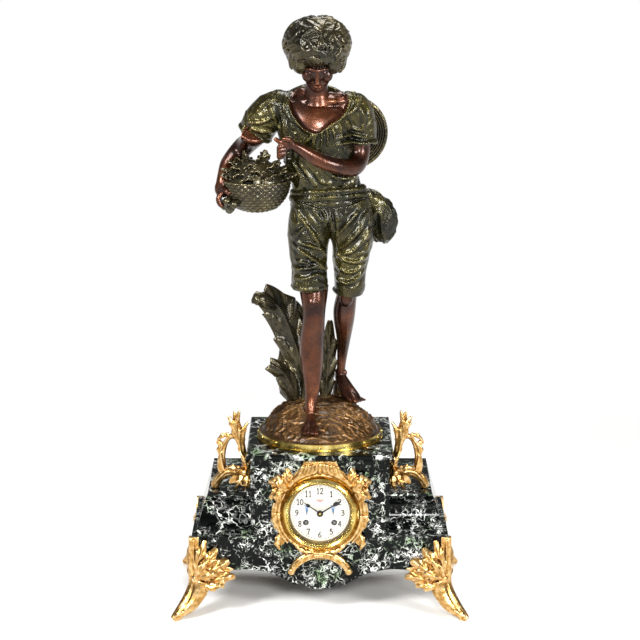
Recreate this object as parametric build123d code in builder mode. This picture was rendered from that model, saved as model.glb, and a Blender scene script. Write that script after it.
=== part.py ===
"""A French mantel clock of the late 1800s: a marble case with gilt mounts, a striking
movement hung in straps behind an enamel dial, and a patinated figure of a boy on top.

Millimetres. The origin is on the floor in the middle of the case, X to the right,
Y to the back and Z up. Distances "ahead" run from the middle towards the front."""

import os
from math import atan2, cos, hypot, pi, radians, sin

from build123d import *

os.makedirs("parts", exist_ok=True)

# General
play = 0.3
overrun = 10.0
turning_play = 0.08

# Marble case
case_half_depth = 90.0
front_thick = 24.0
back_thick = 20.0
panel_half_width = 94.5
tower_half_width = 101.0
chamber_half_width = 79.0
plinth_half_width = 187.0
plinth_underside = 62.0
plinth_top = 120.0
tower_top = 238.0
rear_rail_top = 90.0
slab_half_width = 106.0
slab_half_depth = 99.0
slab_thick = 8.0
slab_bevel = 1.5
apron_drop = 23.0
dial_height = 158.0
case_bore = 48.0
rear_bore = 60.0
wing_height = 62.0
wing_top_half_width = 163.0
wing_foot_half_width = 181.0
wing_lip = 74.0
wing_flare = 78.0
wing_recess = 52.0
wing_rim = 5.0

# Gilt mounts
foot_plate = 4.0
foot_spread = 62.0
foot_side_spread = 40.0
foot_neck = 11.0
toe_reach = 28.5
toe_ahead = 26.5
handle_ahead = 50.0
handle_rise = 116.0
handle_reach = 55.0
surround_thick = 6.0
surround_rim = 7.0
surround_rim_height = 2.0
crest_half_width = 23.6
stem_thick = 4.6

# Bezel, dial and hands
bezel_radius = 53.5
bezel_flange = 3.0
bezel_tube_radius = 43.2
bezel_tube_wall = 1.2
bezel_tube_length = 12.0
bezel_seat_height = 4.3
door_depth = 8.2
door_band = 8.0
crystal_thick = 2.0
crystal_rebate = 1.8
crystal_set_back = 3.4
dial_thick = 1.2
dial_sight_radius = 43.0
hinge_barrel = 1.4
hinge_pin_radius = 0.7
hinge_offset = 1.7
hinge_half_height = 6.0
winding_spread = 20.5
winding_drop = 14.8
winding_hole = 4.4
hour_hand_length = 28.0
minute_hand_length = 37.0
hand_thick = 0.6
hand_boss = 4.6
hour_hand_angle = 304.75
minute_hand_angle = 57.0

# Movement
plate_radius = 41.7
plate_thick = 2.0
plate_gap = 34.0
plate_set_back = 6.0
pillar_radius = 3.0
pillar_circle = 36.0
arbor_radius = 0.9
pivot_radius = 0.5
barrel_radius = 18.0
barrel_wall = 1.2
barrel_length = 17.0
winding_arbor_radius = 2.2
winding_square = 3.2
ratchet_radius = 6.5
wheel_thick = 1.2
wheel_space = 3.3
great_teeth = 48
great_module = 0.775
second_pinion_leaves = 8
second_teeth = 36
train_module = 0.667
small_pinion_leaves = 6
centre_teeth = 36
third_teeth = 33
third_module = 0.6
escape_teeth = 20
escape_radius = 8.0
escape_rise = 24.0
anchor_rise = 36.0
cannon_leaves = 8
minute_wheel_teeth = 24
hour_teeth = 24
motion_module = 0.625
hour_module = 0.667
cannon_pipe_radius = 1.5
hour_pipe_radius = 2.4

# Pendulum, bell and regulation
pendulum_set_back = 12.0
pendulum_length = 104.0
rod_radius = 0.9
bob_radius = 16.0
bob_thick = 7.0
suspension_gap = 1.2
crutch_length = 26.0
bell_radius = 32.0
bell_depth = 20.0
bell_wall = 1.8
bell_set_back = 20.0
post_radius = 2.0
hammer_head_radius = 3.6
regulator_radius = 1.0
regulator_circle = 45.6

# Straps, rear ring and rear door
strap_thick = 1.6
strap_half_width = 5.0
strap_reach = 44.4
lug_length = 12.0
lug_thick = 5.0
rear_ring_wall = 2.6
rear_flange = 6.0
rear_ring_depth = 18.0
rear_door_thick = 1.4
screw_radius = 1.4
screw_head_radius = 3.0
screw_head_height = 1.8

# Figure
figure_height = 619.0
mound_ring_height = 11.0
mound_ring_wall = 2.5
mound_half_width = 88.5
mound_half_depth = 82.5
mound_height = 50.0
bolt_radius = 4.0
nut_radius = 8.0
nut_height = 7.0

# Places worked out from the sizes
front_face = case_half_depth
chamber_front = case_half_depth - front_thick
chamber_back = case_half_depth - back_thick
slab_top = tower_top + slab_thick
dial_back = front_face + bezel_flange
dial_front = dial_back + dial_thick
door_back = front_face + bezel_flange + bezel_seat_height
door_front = door_back + door_depth
hinge_x = bezel_radius + hinge_offset
hinge_ahead = door_back + hinge_offset + hinge_barrel
front_plate_back = front_face - plate_set_back - plate_thick
front_plate_front = front_plate_back + plate_thick
back_plate_front = front_plate_back - plate_gap
back_plate_back = back_plate_front - plate_thick
pendulum_ahead = back_plate_back - pendulum_set_back
bell_front = back_plate_back - bell_set_back
bell_back = bell_front - bell_depth
suspension_height = dial_height + anchor_rise


def ahead_plane(place):
    """A plane that stands front to back through a place (x, z), drawn as ahead and up."""
    return Plane(origin=(place[0], 0, place[1]), x_dir=(0, -1, 0), z_dir=(-1, 0, 0))


def front_plane(ahead, place=(0, 0)):
    """A plane that faces the viewer, so far ahead, with its origin at a place (x, z)."""
    return Plane(origin=(place[0], -ahead, place[1]), x_dir=(1, 0, 0), z_dir=(0, -1, 0))


def turned(place, outline):
    """A turned piece: points of ahead and radius, spun about a line from front to back."""
    with BuildPart() as piece:
        with BuildSketch(ahead_plane(place)):
            with BuildLine():
                Polyline(*outline, close=True)
            make_face()
        revolve(axis=Axis((place[0], 0, place[1]), (0, -1, 0)))
    return piece.part


def ring(place, back, front, inner, outer):
    """A plain ring or, with no inner radius, a disc."""
    return turned(place, [(back, inner), (front, inner), (front, outer), (back, outer)])


def block(x_from, x_to, ahead_from, ahead_to, z_from, z_to):
    """A block by its limits."""
    with BuildPart() as piece:
        with BuildSketch(front_plane(ahead_from)):
            with Locations(((x_from + x_to) / 2, (z_from + z_to) / 2)):
                Rectangle(abs(x_to - x_from), z_to - z_from)
        extrude(amount=ahead_to - ahead_from)
    return piece.part


def cut_sheet(place, back, front, points):
    """A flat piece of metal cut to points about a place."""
    with BuildPart() as piece:
        with BuildSketch(front_plane(back, place)):
            with BuildLine():
                Polyline(*points, close=True)
            make_face()
        extrude(amount=front - back)
    return piece.part


def leaf(root, tip, half_width, back, front):
    """A pointed leaf seen from the front, with two bowed edges from its root to its tip."""
    along = Vector(tip[0] - root[0], tip[1] - root[1])
    middle = Vector(*root) + along / 2
    side = along.normalized().rotate(Axis.Z, 90) * half_width
    with BuildPart() as piece:
        with BuildSketch(front_plane(back)):
            with BuildLine():
                ThreePointArc(root, tuple(middle + side)[:2], tip)
                ThreePointArc(tip, tuple(middle - side)[:2], root)
            make_face()
        extrude(amount=front - back)
    return piece.part


def limb(stations, side=(1, 0, 0), level=False):
    """A rounded length lofted through ellipses: each station is a centre, a half width
    along the given side and a half depth across it. Level stations all lie flat."""
    centres = [Vector(*station[:3]) for station in stations]
    with BuildPart() as piece:
        for number, station in enumerate(stations):
            before = centres[max(number - 1, 0)]
            after = centres[min(number + 1, len(centres) - 1)]
            along = Vector(0, 0, 1) if level else (after - before).normalized()
            across = Vector(*side)
            across = (across - along * across.dot(along)).normalized()
            with BuildSketch(Plane(origin=centres[number], x_dir=across, z_dir=along)):
                Ellipse(station[3], station[4])
        loft()
    return piece.part


# Front panel: an inverted T of marble with a scalloped apron and the bore for the movement
apron_shares = {
    "rail": (0.815, 0.000), "arch": (0.615, -0.330), "bump": (0.210, 0.650), "bump_end": (0.180, 0.700),
    "notch": (0.152, 0.480), "lobe_side": (0.095, 0.870), "lobe": (0.000, 1.000),
}
apron = {
    name: (across * plinth_half_width, plinth_underside - drop * apron_drop)
    for name, (across, drop) in apron_shares.items()
}
with BuildPart() as front_panel:
    with BuildSketch(front_plane(chamber_front)):
        with BuildLine():
            Polyline(
                (0, tower_top), (panel_half_width, tower_top), (panel_half_width, plinth_top),
                (plinth_half_width, plinth_top), (plinth_half_width, plinth_underside), apron["rail"],
            )
            ThreePointArc(apron["rail"], apron["arch"], apron["bump"])
            Polyline(apron["bump"], apron["bump_end"], apron["notch"])
            ThreePointArc(apron["notch"], apron["lobe_side"], apron["lobe"])
            Line(apron["lobe"], (0, tower_top))
        make_face()
        mirror(about=Plane.YZ)
    extrude(amount=front_thick)
    with BuildSketch(front_plane(chamber_front, (0, dial_height))):
        Circle(case_bore)
    extrude(amount=front_thick, mode=Mode.SUBTRACT)
front_panel.part.label = "front_panel"
export_step(front_panel.part, "parts/front_panel.step")

# Plinth: the marble base behind the panel, open in the middle for the pendulum
with BuildPart() as plinth:
    add(block(-plinth_half_width, plinth_half_width, -case_half_depth, chamber_front,
              plinth_underside, plinth_top))
    add(block(-chamber_half_width, chamber_half_width, -chamber_back, chamber_front,
              plinth_underside, plinth_top), mode=Mode.SUBTRACT)
    add(block(-tower_half_width, tower_half_width, -case_half_depth, -chamber_back,
              rear_rail_top, plinth_top), mode=Mode.SUBTRACT)
plinth.part.label = "plinth"
export_step(plinth.part, "parts/plinth.step")

# Back panel, with the round opening that the rear door closes
with BuildPart() as back_panel:
    add(block(-tower_half_width, tower_half_width, -case_half_depth, -chamber_back,
              rear_rail_top, tower_top))
    with BuildSketch(front_plane(-case_half_depth, (0, dial_height))):
        Circle(rear_bore)
    extrude(amount=back_thick, mode=Mode.SUBTRACT)
back_panel.part.label = "back_panel"
export_step(back_panel.part, "parts/back_panel.step")

# Wings: each is a coved block on the plinth with the tower's side wall beside it
wing_top = plinth_top + wing_height
with BuildPart() as right_wing:
    with BuildSketch(ahead_plane((tower_half_width, 0))):
        with BuildLine():
            Polyline(
                (wing_lip, wing_top - wing_rim), (wing_lip, wing_top), (-case_half_depth, wing_top),
                (-case_half_depth, plinth_top), (wing_flare, plinth_top),
                (wing_flare, plinth_top + wing_rim),
            )
            ThreePointArc(
                (wing_flare, plinth_top + wing_rim), (wing_recess, plinth_top + wing_height / 2),
                (wing_lip, wing_top - wing_rim),
            )
        make_face()
    extrude(amount=-(wing_foot_half_width - tower_half_width))
    with BuildSketch(front_plane(-case_half_depth)):
        Polygon(
            (tower_half_width, plinth_top), (wing_foot_half_width, plinth_top),
            (wing_top_half_width, wing_top), (tower_half_width, wing_top), align=None,
        )
    extrude(amount=case_half_depth + wing_flare, mode=Mode.INTERSECT)
    add(block(chamber_half_width, tower_half_width, -chamber_back, chamber_front, plinth_top, tower_top))
right_wing.part.label = "right_wing"
export_step(right_wing.part, "parts/right_wing.step")

with BuildPart() as left_wing:
    mirror(right_wing.part, about=Plane.YZ)
left_wing.part.label = "left_wing"
export_step(left_wing.part, "parts/left_wing.step")

# Top slab, bevelled all round, drilled for the bolt that holds the figure
with BuildPart() as top_slab:
    add(block(-slab_half_width, slab_half_width, -slab_half_depth, slab_half_depth, tower_top, slab_top))
    chamfer(top_slab.edges().filter_by(Axis.Z, reverse=True), length=slab_bevel)
    with BuildSketch(Plane.XY.offset(tower_top)):
        Circle(bolt_radius + play)
    extrude(amount=slab_thick, mode=Mode.SUBTRACT)
top_slab.part.label = "top_slab"
export_step(top_slab.part, "parts/top_slab.step")

# Gilt feet: a leafy plate on the front and one on the side of each corner, and a scrolled leg
foot_leaf_shares = [(-1.00, 0.16, 0.11), (-0.85, 0.44, 0.12), (-0.58, 0.72, 0.12), (-0.30, 0.90, 0.11)]
foot_root_shares = (-0.18, 0.10)
leg_shares = [
    (-0.25, -0.10, 0.94, 0.46, 0.44), (-0.20, 0.05, 0.74, 0.42, 0.38), (0.10, 0.30, 0.50, 0.34, 0.30),
    (0.45, 0.62, 0.27, 0.30, 0.26), (0.75, 0.84, 0.10, 0.26, 0.20), (0.94, 0.96, 0.03, 0.18, 0.12),
]
foot_side_height = plinth_top - plinth_underside
with BuildPart() as front_right_foot:
    root = (plinth_half_width + foot_root_shares[0] * foot_spread,
            plinth_underside + foot_root_shares[1] * foot_side_height)
    for across, up, wide in foot_leaf_shares:
        tip = (plinth_half_width + across * foot_spread, plinth_underside + up * foot_side_height)
        add(leaf(root, tip, wide * foot_spread, front_face, front_face + foot_plate))
    add(block(plinth_half_width - foot_neck, plinth_half_width, front_face, front_face + foot_plate,
              plinth_underside, plinth_top))
    with BuildSketch(Plane.YZ.offset(plinth_half_width)):
        Polygon(
            (-front_face - foot_plate, plinth_underside), (-front_face - foot_plate, plinth_top),
            (-front_face + foot_neck / 2, plinth_top), (-front_face + foot_side_spread, plinth_underside),
            align=None,
        )
    extrude(amount=foot_plate)
    add(block(plinth_half_width - foot_spread / 2, plinth_half_width + foot_plate,
              front_face - foot_side_spread, front_face + foot_plate,
              plinth_underside - foot_neck / 2, plinth_underside))
    add(limb([
        (plinth_half_width + x * toe_reach, -front_face - y * toe_ahead, z * plinth_underside,
         wide * toe_reach, deep * toe_ahead) for x, y, z, wide, deep in leg_shares
    ]))
    split(bisect_by=Plane.XY, keep=Keep.TOP)
front_right_foot.part.label = "front_right_foot"
export_step(front_right_foot.part, "parts/front_right_foot.step")

with BuildPart() as front_left_foot:
    mirror(front_right_foot.part, about=Plane.YZ)
front_left_foot.part.label = "front_left_foot"
export_step(front_left_foot.part, "parts/front_left_foot.step")

with BuildPart() as rear_right_foot:
    mirror(front_right_foot.part, about=Plane.XZ)
rear_right_foot.part.label = "rear_right_foot"
export_step(rear_right_foot.part, "parts/rear_right_foot.step")

with BuildPart() as rear_left_foot:
    mirror(front_left_foot.part, about=Plane.XZ)
rear_left_foot.part.label = "rear_left_foot"
export_step(rear_left_foot.part, "parts/rear_left_foot.step")

# Gilt handles: a branch that springs from the wing, a stem with a leaf at its top and an open loop
handle_stem_shares = [
    (0.05, 0.19, 0.055, 0.050), (0.22, 0.50, 0.046, 0.042), (0.36, 0.84, 0.046, 0.032),
    (0.44, 1.00, 0.014, 0.012),
]
handle_loop_shares = [
    (0.22, 0.52, 0.040, 0.038), (0.50, 0.68, 0.038, 0.036), (0.72, 0.52, 0.036, 0.034),
    (0.64, 0.18, 0.044, 0.040),
]
handle_branch_shares = [
    (0.98, -0.02, 0.050, 0.046), (0.62, 0.20, 0.060, 0.054), (0.20, 0.20, 0.060, 0.052),
    (-0.02, 0.15, 0.048, 0.044),
]
with BuildPart() as right_handle:
    for shares in (handle_stem_shares, handle_loop_shares, handle_branch_shares):
        add(limb([
            (tower_half_width + x * handle_reach, -handle_ahead, wing_top + z * handle_rise,
             deep * handle_rise, wide * handle_rise) for x, z, wide, deep in shares
        ], side=(0, 1, 0)))
    leaf_root = (tower_half_width + handle_reach * 0.2, wing_top + handle_rise * 0.2)
    leaf_end_shares = [(0.03, 0.42), (0.02, 0.05), (0.60, 0.06)]
    for x, z in leaf_end_shares:
        add(leaf(leaf_root, (tower_half_width + x * handle_reach, wing_top + z * handle_rise),
                 handle_rise * 0.05, handle_ahead - stem_thick, handle_ahead + stem_thick))
    add(block(tower_half_width - handle_reach, tower_half_width, 0, front_face, wing_top - handle_rise,
              wing_top + handle_rise), mode=Mode.SUBTRACT)
    add(block(0, plinth_half_width, 0, front_face, plinth_top, wing_top), mode=Mode.SUBTRACT)
right_handle.part.label = "right_handle"
export_step(right_handle.part, "parts/right_handle.step")

with BuildPart() as left_handle:
    mirror(right_handle.part, about=Plane.YZ)
left_handle.part.label = "left_handle"
export_step(left_handle.part, "parts/left_handle.step")

# Gilt surround: a cast frame round the bezel with a ribbed crest, leaf sprays and crossed stems
frame_outer = bezel_radius + play + surround_rim
crest_shares = [(1.00, 1.00), (1.12, 0.60), (1.45, 0.05), (1.85, -0.65), (2.20, -1.45)]
spray_shares = [
    ((-0.82, 0.50), (-0.76, 1.10), 0.12), ((-0.80, 0.52), (-1.16, 0.75), 0.12),
    ((-0.84, 0.50), (-1.12, 0.38), 0.10), ((-0.90, -0.20), (-1.10, 0.02), 0.07),
    ((-0.78, -0.50), (-1.00, -0.84), 0.08),
]
stem_shares = [(0.06, -0.99, 0.075, 0.070), (0.28, -1.05, 0.080, 0.075), (0.50, -1.20, 0.085, 0.075),
               (0.68, -1.45, 0.085, 0.075)]
crest_height = tower_top - slab_bevel - play - dial_height - frame_outer
with BuildPart() as dial_surround:
    with BuildSketch(front_plane(front_face, (0, dial_height))):
        Circle(frame_outer)
        with BuildLine():
            crest = [(x * crest_half_width, frame_outer + z * crest_height) for x, z in crest_shares]
            Polyline((0, crest[0][1]), crest[0])
            Spline(*crest)
            Line(crest[-1], (0, crest[-1][1]))
            Line((0, crest[-1][1]), (0, crest[0][1]))
        make_face()
        mirror(about=Plane.YZ)
    extrude(amount=surround_thick)
    for root, tip, wide in spray_shares:
        ends = [(x * frame_outer, dial_height + z * frame_outer) for x, z in (root, tip)]
        add(leaf(*ends, wide * frame_outer, front_face, front_face + surround_thick))
    add(limb([
        (x * frame_outer, -front_face - stem_thick, dial_height + z * frame_outer, deep * frame_outer,
         wide * frame_outer) for x, z, wide, deep in stem_shares
    ], side=(0, 1, 0)))
    mirror(about=Plane.YZ)
    add(block(-plinth_half_width, plinth_half_width, 0, front_face, 0, tower_top), mode=Mode.SUBTRACT)
    add(turned((0, dial_height), [
        (front_face + surround_thick, frame_outer - surround_rim),
        (front_face + surround_thick + surround_rim_height, frame_outer - surround_rim / 2),
        (front_face + surround_thick, frame_outer),
    ]))
    with BuildSketch(front_plane(front_face, (0, dial_height))):
        Circle(bezel_radius + play)
        with Locations((bezel_radius + hinge_offset, 0)):
            Rectangle(hinge_offset * 4, (hinge_half_height + play) * 2)
    extrude(amount=surround_thick * 2, mode=Mode.SUBTRACT)
dial_surround.part.label = "dial_surround"
export_step(dial_surround.part, "parts/dial_surround.step")

# Bezel ring: the fixed brass ring that stands in the bore, with the lower half of its hinge
dial_place = (0, dial_height)
flange_front = front_face + bezel_flange
regulator_place = (0, dial_height + regulator_circle)
hinge_plane = Plane(origin=(hinge_x, -hinge_ahead, dial_height - hinge_half_height))
hinge_leaf = hinge_half_height - bezel_flange
with BuildPart() as bezel_ring:
    add(turned(dial_place, [
        (front_face - bezel_tube_length, bezel_tube_radius), (front_face - bezel_tube_length,
         bezel_tube_radius - bezel_tube_wall), (flange_front, bezel_tube_radius - bezel_tube_wall),
        (flange_front, bezel_radius - bezel_flange), (door_back - play, bezel_radius - bezel_flange),
        (door_back - play, bezel_radius), (front_face, bezel_radius), (front_face, bezel_tube_radius),
    ]))
    for up in (-1, 1):
        ends = sorted((up * hinge_half_height, up * hinge_leaf))
        add(block(hinge_x - hinge_barrel, hinge_x + hinge_barrel, front_face, hinge_ahead,
                  dial_height + ends[0], dial_height + ends[1]))
        add(block(bezel_radius - bezel_flange, hinge_x, front_face, flange_front,
                  dial_height + ends[0], dial_height + ends[1]))
        with BuildSketch(Plane(origin=(hinge_x, -hinge_ahead, dial_height + ends[0]))):
            Circle(hinge_barrel)
        extrude(amount=ends[1] - ends[0])
    with BuildSketch(hinge_plane):
        Circle(hinge_pin_radius)
    extrude(amount=hinge_half_height * 2, mode=Mode.SUBTRACT)
    with BuildSketch(front_plane(front_face, regulator_place)):
        Circle(regulator_radius + play)
    extrude(amount=bezel_flange, mode=Mode.SUBTRACT)
    for side in (-1, 1):
        with BuildSketch(front_plane(front_face, (side * strap_reach, dial_height))):
            Rectangle(strap_thick, strap_half_width * 2)
        extrude(amount=bezel_flange / 2, mode=Mode.SUBTRACT)
bezel_ring.part.label = "bezel_ring"
export_step(bezel_ring.part, "parts/bezel_ring.step")

# Bezel door: the moulded ring that carries the glass, with the middle barrel of the hinge
crystal_front = door_front - crystal_set_back
crystal_back = crystal_front - crystal_thick
crystal_radius = bezel_radius - door_band + crystal_rebate
with BuildPart() as bezel_door:
    add(turned(dial_place, [
        (door_back, crystal_radius), (door_back, bezel_radius - slab_bevel),
        (door_back + slab_bevel, bezel_radius), (door_front - door_depth / 2, bezel_radius),
        (door_front - slab_bevel, bezel_radius - door_band / 4), (door_front, bezel_radius - door_band / 2),
        (door_front - slab_bevel, bezel_radius - door_band * 3 / 4),
        (crystal_front, bezel_radius - door_band),
        (crystal_front, crystal_radius),
    ]))
    add(block(bezel_radius - slab_bevel, hinge_x, hinge_ahead - hinge_barrel, hinge_ahead + hinge_barrel,
              dial_height - hinge_leaf + play, dial_height + hinge_leaf - play))
    with BuildSketch(Plane(origin=(hinge_x, -hinge_ahead, dial_height - hinge_leaf + play))):
        Circle(hinge_barrel)
    extrude(amount=(hinge_leaf - play) * 2)
    with BuildSketch(hinge_plane):
        Circle(hinge_pin_radius + turning_play)
    extrude(amount=hinge_half_height * 2, mode=Mode.SUBTRACT)
bezel_door.part.label = "bezel_door"
export_step(bezel_door.part, "parts/bezel_door.step")

# Crystal: the bevelled glass behind the lip of the door
with BuildPart() as crystal:
    add(turned(dial_place, [
        (crystal_back, 0), (crystal_front, 0), (crystal_front, crystal_radius),
        (crystal_back + crystal_thick / 2, crystal_radius),
        (crystal_back, crystal_radius - crystal_thick / 2),
    ]))
crystal.part.label = "crystal"
export_step(crystal.part, "parts/crystal.step")

# Dial: enamel on copper, pierced for the hands and both winding squares
winding_places = {"going": (winding_spread, dial_height - winding_drop),
                  "strike": (-winding_spread, dial_height - winding_drop)}
with BuildPart() as dial:
    add(ring(dial_place, dial_back, dial_front, hour_pipe_radius + play,
             regulator_circle - regulator_radius - play))
    for place in winding_places.values():
        with BuildSketch(front_plane(dial_back, place)):
            Circle(winding_hole)
        extrude(amount=dial_thick, mode=Mode.SUBTRACT)
dial.part.label = "dial"
export_step(dial.part, "parts/dial.step")

# Sight ring: the milled slip that hides the edge of the dial
sight_outer = bezel_radius - bezel_flange
with BuildPart() as sight_ring:
    add(turned(dial_place, [
        (dial_front, dial_sight_radius), (dial_front, regulator_circle - regulator_radius - play),
        (dial_back, regulator_circle - regulator_radius - play), (dial_back, sight_outer),
        (door_back - play, sight_outer), (dial_front + dial_thick / 2, dial_sight_radius),
    ]))
    with BuildSketch(front_plane(dial_back, regulator_place)):
        Circle(regulator_radius + play)
    extrude(amount=door_depth, mode=Mode.SUBTRACT)
sight_ring.part.label = "sight_ring"
export_step(sight_ring.part, "parts/sight_ring.step")

# Hands: blackened steel, each a pierced spade on a boss
hour_hand_ahead = dial_front + play * 6
minute_hand_ahead = hour_hand_ahead + hand_thick + play * 5
hand_shares = [(0.10, 0.030), (0.62, 0.022), (0.68, 0.075), (0.78, 0.085), (0.86, 0.030), (1.00, 0.008)]


def hand(length, angle, ahead, bore):
    """A hand whose blade swells near its tip, turned clockwise from upright."""
    blade = [(half * length, along * length) for along, half in hand_shares]
    blade = blade + [(-across, up) for across, up in reversed(blade)]
    across, up = sin(radians(angle)), cos(radians(angle))
    points = [(x * up + y * across, y * up - x * across) for x, y in blade]
    with BuildPart() as piece:
        add(cut_sheet(dial_place, ahead, ahead + hand_thick, points))
        add(ring(dial_place, ahead, ahead + hand_thick, 0, hand_boss))
        add(ring(dial_place, ahead - hand_thick, ahead + hand_thick * 2, 0, bore), mode=Mode.SUBTRACT)
    return piece.part


with BuildPart() as hour_hand:
    add(hand(hour_hand_length, hour_hand_angle, hour_hand_ahead, hour_pipe_radius))
hour_hand.part.label = "hour_hand"
export_step(hour_hand.part, "parts/hour_hand.step")

with BuildPart() as minute_hand:
    add(hand(minute_hand_length, minute_hand_angle, minute_hand_ahead, cannon_pipe_radius))
minute_hand.part.label = "minute_hand"
export_step(minute_hand.part, "parts/minute_hand.step")

# Places of the arbors, each found from the two gears that it must reach


def third_corner(first, second, from_first, from_second, turn):
    """The place at two given distances from two others, to the left (1) or right (-1) of their line."""
    across, up = second[0] - first[0], second[1] - first[1]
    between = hypot(across, up)
    bend = (from_first ** 2 + between ** 2 - from_second ** 2) / (2 * from_first * between)
    angle = atan2(up, across) + turn * (pi / 2 - atan2(bend, (1 - bend ** 2) ** 0.5))
    return (first[0] + from_first * cos(angle), first[1] + from_first * sin(angle))


going_place = winding_places["going"]
strike_place = winding_places["strike"]
great_mesh = (great_teeth + second_pinion_leaves) * great_module / 2
second_mesh = (second_teeth + small_pinion_leaves) * train_module / 2
centre_mesh = (centre_teeth + small_pinion_leaves) * train_module / 2
third_mesh = (third_teeth + small_pinion_leaves) * third_module / 2
motion_mesh = (cannon_leaves + minute_wheel_teeth) * motion_module / 2
second_place = third_corner(dial_place, going_place, second_mesh, great_mesh, 1)
escape_place = (0, dial_height + escape_rise)
third_place = third_corner(dial_place, escape_place, centre_mesh, third_mesh, 1)
anchor_place = (0, dial_height + anchor_rise)
minute_wheel_place = (0, dial_height + motion_mesh)


def direction(start, end):
    """The angle of the line from one place to another."""
    return atan2(end[1] - start[1], end[0] - start[0])


wheel_tooth_shares = [(-1.40, -0.22), (1.00, -0.10), (1.00, 0.10), (-1.40, 0.22)]
pinion_tooth_shares = [(-1.50, -0.20), (0.40, -0.12), (0.40, 0.12), (-1.50, 0.20)]


def teeth_points(teeth, module, tooth_shares, first_tooth):
    """The outline of a gear: depths are shares of the module, widths shares of the pitch."""
    pitch_radius = teeth * module / 2
    points = []
    for number in range(teeth):
        for depth, width in tooth_shares:
            radius = pitch_radius + depth * module
            angle = first_tooth + (number + width) * 2 * pi / teeth
            points.append((radius * cos(angle), radius * sin(angle)))
    return points


def gear(place, teeth, module, back, thick, first_tooth, arms=0, bore=0):
    """A wheel or, with no arms, a pinion; the windows between the arms are cut through."""
    shares = wheel_tooth_shares if teeth > second_pinion_leaves else pinion_tooth_shares
    root_radius = teeth * module / 2 + shares[0][0] * module
    with BuildPart() as piece:
        add(cut_sheet(place, back, back + thick, teeth_points(teeth, module, shares, first_tooth)))
        for number in range(arms):
            corners = []
            for inward, turn in ((0.42, 0.30), (0.82, 0.16), (0.82, 0.84), (0.42, 0.70)):
                angle = (number + turn) * 2 * pi / arms
                corners.append((root_radius * inward * cos(angle), root_radius * inward * sin(angle)))
            add(cut_sheet(place, back - thick, back + thick * 2, corners), mode=Mode.SUBTRACT)
        if bore:
            add(ring(place, back - thick, back + thick * 2, 0, bore), mode=Mode.SUBTRACT)
    return piece.part


# Levels of the wheels between the plates, counted from the back plate forwards
third_wheel_back = back_plate_front + play * 3
centre_wheel_back = third_wheel_back + wheel_space
second_wheel_back = centre_wheel_back + wheel_space
great_wheel_back = second_wheel_back + wheel_space
barrel_back = great_wheel_back + wheel_thick
escape_wheel_back = front_plate_back - plate_gap / 3
pinion_over = play * 2


def arbor(place, back, front):
    """A steel arbor with a pivot turned at each end, which runs in the plates."""
    return turned(place, [
        (back - plate_thick, 0), (front + plate_thick, 0), (front + plate_thick, pivot_radius),
        (front - play, pivot_radius), (front - play, arbor_radius), (back + play, arbor_radius),
        (back + play, pivot_radius), (back - plate_thick, pivot_radius),
    ])


def pinion_phase(wheel_place, place, leaves):
    """The angle that puts a gap between two leaves against the tooth of the driving wheel."""
    return direction(place, wheel_place) + pi / leaves


# Great wheels: each is the toothed rim of its barrel, and only the going one drives a train
barrels = {}
for name, place in winding_places.items():
    mesh_angle = direction(place, second_place)
    with BuildPart() as barrel:
        add(gear(place, great_teeth, great_module, great_wheel_back, wheel_thick, mesh_angle))
        add(ring(place, barrel_back, barrel_back + barrel_length, barrel_radius - barrel_wall,
                 barrel_radius))
        for level in (great_wheel_back, barrel_back + barrel_length - barrel_wall):
            add(ring(place, level, level + barrel_wall, 0, barrel_radius))
        add(ring(place, great_wheel_back - overrun, front_plate_front, 0,
                 winding_arbor_radius + turning_play),
            mode=Mode.SUBTRACT)
    barrels[name] = barrel.part

with BuildPart() as going_barrel:
    add(barrels["going"])
going_barrel.part.label = "going_barrel"
export_step(going_barrel.part, "parts/going_barrel.step")

with BuildPart() as strike_barrel:
    add(barrels["strike"])
strike_barrel.part.label = "strike_barrel"
export_step(strike_barrel.part, "parts/strike_barrel.step")


def winding_arbor(place):
    """An arbor with a ratchet before the front plate and a square for the key."""
    ratchet_back = front_plate_front + play
    ratchet = []
    ratchet_teeth = 12
    for number in range(ratchet_teeth):
        for radius, turn in ((ratchet_radius, 0), (ratchet_radius - train_module * 2, 0.1)):
            angle = (number + turn) * 2 * pi / ratchet_teeth
            ratchet.append((radius * cos(angle), radius * sin(angle)))
    with BuildPart() as piece:
        add(ring(place, back_plate_back, ratchet_back + wheel_thick, 0, winding_arbor_radius))
        add(cut_sheet(place, ratchet_back, ratchet_back + wheel_thick, ratchet))
        with BuildSketch(front_plane(ratchet_back, place)):
            Rectangle(winding_square, winding_square)
        extrude(amount=dial_front - ratchet_back - play)
    return piece.part


with BuildPart() as going_arbor:
    add(winding_arbor(going_place))
going_arbor.part.label = "going_arbor"
export_step(going_arbor.part, "parts/going_arbor.step")

with BuildPart() as strike_arbor:
    add(winding_arbor(strike_place))
strike_arbor.part.label = "strike_arbor"
export_step(strike_arbor.part, "parts/strike_arbor.step")

# Second wheel, driven by the going barrel
with BuildPart() as second_wheel:
    add(arbor(second_place, back_plate_front, front_plate_back))
    add(gear(second_place, second_pinion_leaves, great_module, great_wheel_back - pinion_over,
             wheel_thick + pinion_over * 2, pinion_phase(going_place, second_place, second_pinion_leaves)))
    add(gear(second_place, second_teeth, train_module, second_wheel_back, wheel_thick,
             direction(second_place, dial_place), arms=4))
second_wheel.part.label = "second_wheel"
export_step(second_wheel.part, "parts/second_wheel.step")

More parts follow.
